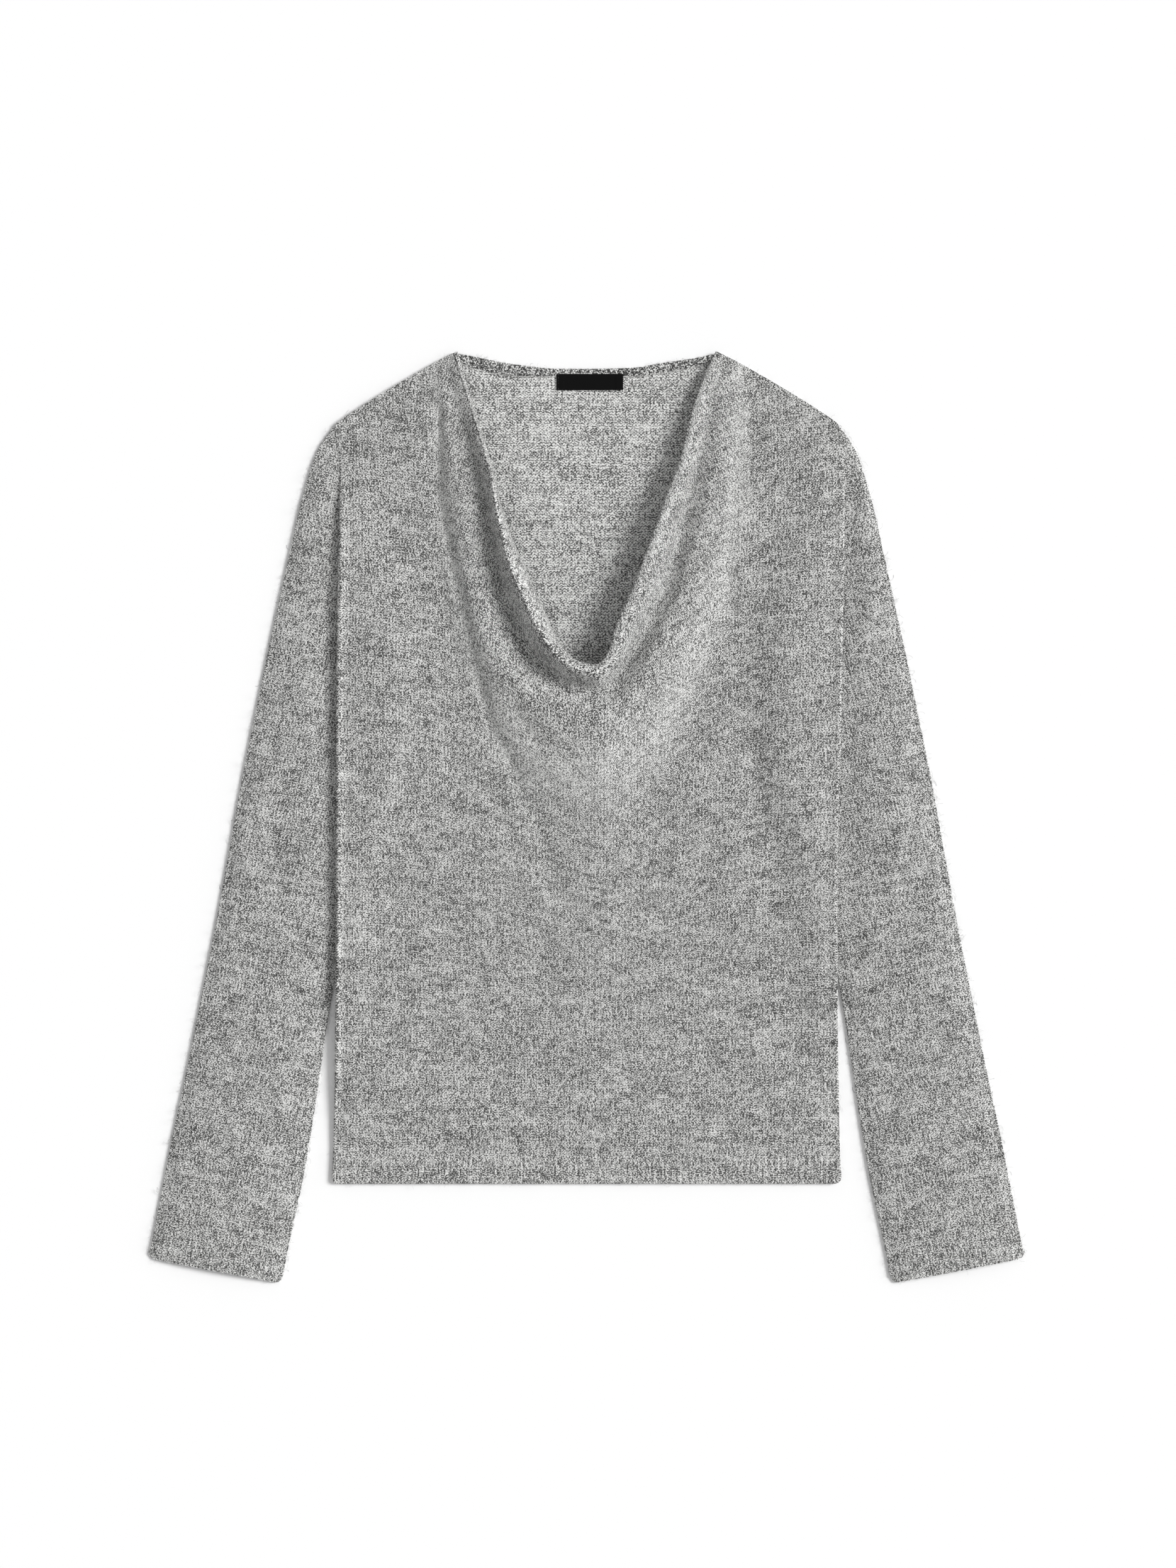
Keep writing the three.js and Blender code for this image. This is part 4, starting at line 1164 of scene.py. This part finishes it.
def rim_stitches():
    """The row of slanting stitches that links the turned hem along the opening."""
    from_seam, below_edge, above_hem = 24, 2.4, 0.05
    edge = np.linspace(from_seam, EDGE_LENGTH - from_seam, 1200)
    run = np.full_like(edge, below_edge)
    normal = front_normal(edge, run)
    points = front_middle(edge, run) + normal * (TURNED_WALL - WALL / 2 + above_hem)
    return stitch_row(
        "rim_stitches", points, normal, THREAD, pitch=2.2, length=3.0, thickness=0.75, slant=0.95, seed=3
    )


def band_stitches():
    """The linking along the lower edge of the back neck's band."""
    from_end, below_band, above_back = 4, 0.8, 0.1
    x = np.linspace(NECK_X - from_end, from_end - NECK_X, 400)
    y = back_neck["bandY"](x) - below_band
    points = stacked(x, y, WALL + above_back)
    return stitch_row(
        "band_stitches", points, UP, THREAD, pitch=2.4, length=2.6, thickness=0.6, slant=0.3, seed=5
    )


def label_stitches():
    """The row of black stitches that holds the label's left end."""
    from_end, from_corner, above_back = 1.3, 1, 0.8
    y = np.linspace(LABEL_BOTTOM + from_corner, LABEL_TOP - from_corner, 30)
    z = WALL + LAYER_GAP + above_back + 0.1 * np.cos(y)
    points = stacked(LABEL_LEFT + from_end, y, z)
    sizes = {"pitch": 1.7, "length": 1.5, "thickness": 0.35}
    return stitch_row("label_stitches_left", points, UP, BLACK_THREAD, slant=0.0, seed=7, **sizes)


def finished(piece, node, material):
    """Gives a piece its material and its body, and hides the imported part that it stands for."""
    piece.data.materials.clear()
    piece.data.materials.append(material)
    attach(piece, "root")
    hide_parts(node)
    return piece


# The pieces
TUBE_STATIONS = np.linspace(CUFF_STATION, LAST_STATION, SLEEVE_STATIONS)
CUFF_STATIONS = steps_between(0, 3, 0.05, 12, CUFF_STATION)
SIDES = (("left", -1), ("right", 1))

front = finished(front_panel(), "front_panel", COWL_KNIT)
hem_of_cowl = finished(cowl_hem(), "cowl_hem", COWL_KNIT)
back = finished(back_panel(), "back_panel", INSIDE_KNIT)
neck_band = finished(back_neck_band(), "back_neck_band", BAND_KNIT)
front_rib = hem_rib("hem_rib_front", WALL + LAYER_GAP, 0.0, ribs=True)
front_rib = finished(front_rib, "hem_front", HEM_KNIT)
back_rib = hem_rib("hem_rib_back", 0.0, BACK_INSET, ribs=False)
back_rib = finished(back_rib, "hem_back", HEM_KNIT)
sleeves = {}
cuffs = {}
for word, sign in SIDES:
    tube = sleeve_tube("sleeve_tube_" + word, sign, TUBE_STATIONS, SLEEVE_TOP, ribs=False, felt=0.0)
    sleeves[word] = finished(tube, "sleeve_" + word, KNIT)
    rib = sleeve_tube("cuff_rib_" + word, sign, CUFF_STATIONS, CUFF_TOP, ribs=True, felt=0.2)
    cuffs[word] = finished(rib, "cuff_" + word, CUFF_KNIT)
label = finished(neck_label(), "neck_label", label_material())

rim_row = rim_stitches()
band_row = band_stitches()
label_row = label_stitches()

# Loose fibres, with how many grow on a square metre, the seed and their length
fibres = {
    "front": fibres_on(front, 42000, 11),
    "cowl": fibres_on(hem_of_cowl, 90000, 12, length=3.5),
    "back": fibres_on(back, 30000, 13),
    "band": fibres_on(neck_band, 150000, 14, length=3.0),
    "hem": fibres_on(front_rib, 60000, 15, length=3.5),
}
for number, (word, sign) in enumerate(SIDES):
    fibres[word] = fibres_on(sleeves[word], 42000, 21 + number)
    fibres["cuff " + word] = fibres_on(cuffs[word], 60000, 31 + number, length=3.5)

# Floor, light and camera, in metres
FRAME_WIDTH, FRAME_HEIGHT = 1659, 2212
MM_PER_PIXEL = 0.52
CENTRE_PIXEL = (827.5, 1154.0)
LENS, SENSOR = 85.0, 36.0
FLOOR_HALF, FLOOR_DROP = 40.0, 0.0002
WORLD_STRENGTH = 0.475


def add_floor():
    mesh = bpy.data.meshes.new("floor")
    corners = [(-1, -1, 0), (1, -1, 0), (1, 1, 0), (-1, 1, 0)]
    mesh.from_pydata([(FLOOR_HALF * x, FLOOR_HALF * y, z) for x, y, z in corners], [], [(0, 1, 2, 3)])
    floor = add_object("floor", mesh)
    floor.data.materials.append(plain_material("pale floor", (0.95, 0.95, 0.95), 0.9))
    floor.location.z = -FLOOR_DROP


def add_sun(name, place, spread, strength):
    """A sun that shines from place towards the middle of the floor."""
    data = bpy.data.lights.new(name, "SUN")
    data.angle = math.radians(spread)
    data.energy = strength
    light = add_object(name, data)
    light.location = place
    light.rotation_euler = (-Vector(place)).to_track_quat("-Z", "Y").to_euler()


def add_camera():
    """A camera straight above the place that the middle of the frame shows."""
    data = bpy.data.cameras.new("camera")
    data.lens = LENS
    data.sensor_width = SENSOR
    data.sensor_fit = "AUTO"
    seen_height = FRAME_HEIGHT * MM_PER_PIXEL * MM
    camera = add_object("camera", data)
    x = (FRAME_WIDTH / 2 - CENTRE_PIXEL[0]) * MM_PER_PIXEL * MM
    y = (CENTRE_PIXEL[1] - FRAME_HEIGHT / 2) * MM_PER_PIXEL * MM
    camera.location = (x, y, seen_height * LENS / SENSOR + FLAT_TUBE * MM)
    bpy.context.scene.camera = camera


def add_world():
    """An even white light from all round."""
    world = bpy.data.worlds.new("studio")
    world.use_nodes = True
    background = world.node_tree.nodes["Background"]
    background.inputs["Color"].default_value = (1.0, 1.0, 1.0, 1.0)
    background.inputs["Strength"].default_value = WORLD_STRENGTH
    bpy.context.scene.world = world


add_floor()
add_sun("key", (2.1, 0.65, 1.75), spread=24.0, strength=2.7)
add_sun("low", (2.6, 0.3, 0.95), spread=35.0, strength=0.4)
add_camera()
add_world()
bpy.context.scene.view_settings.view_transform = "Standard"
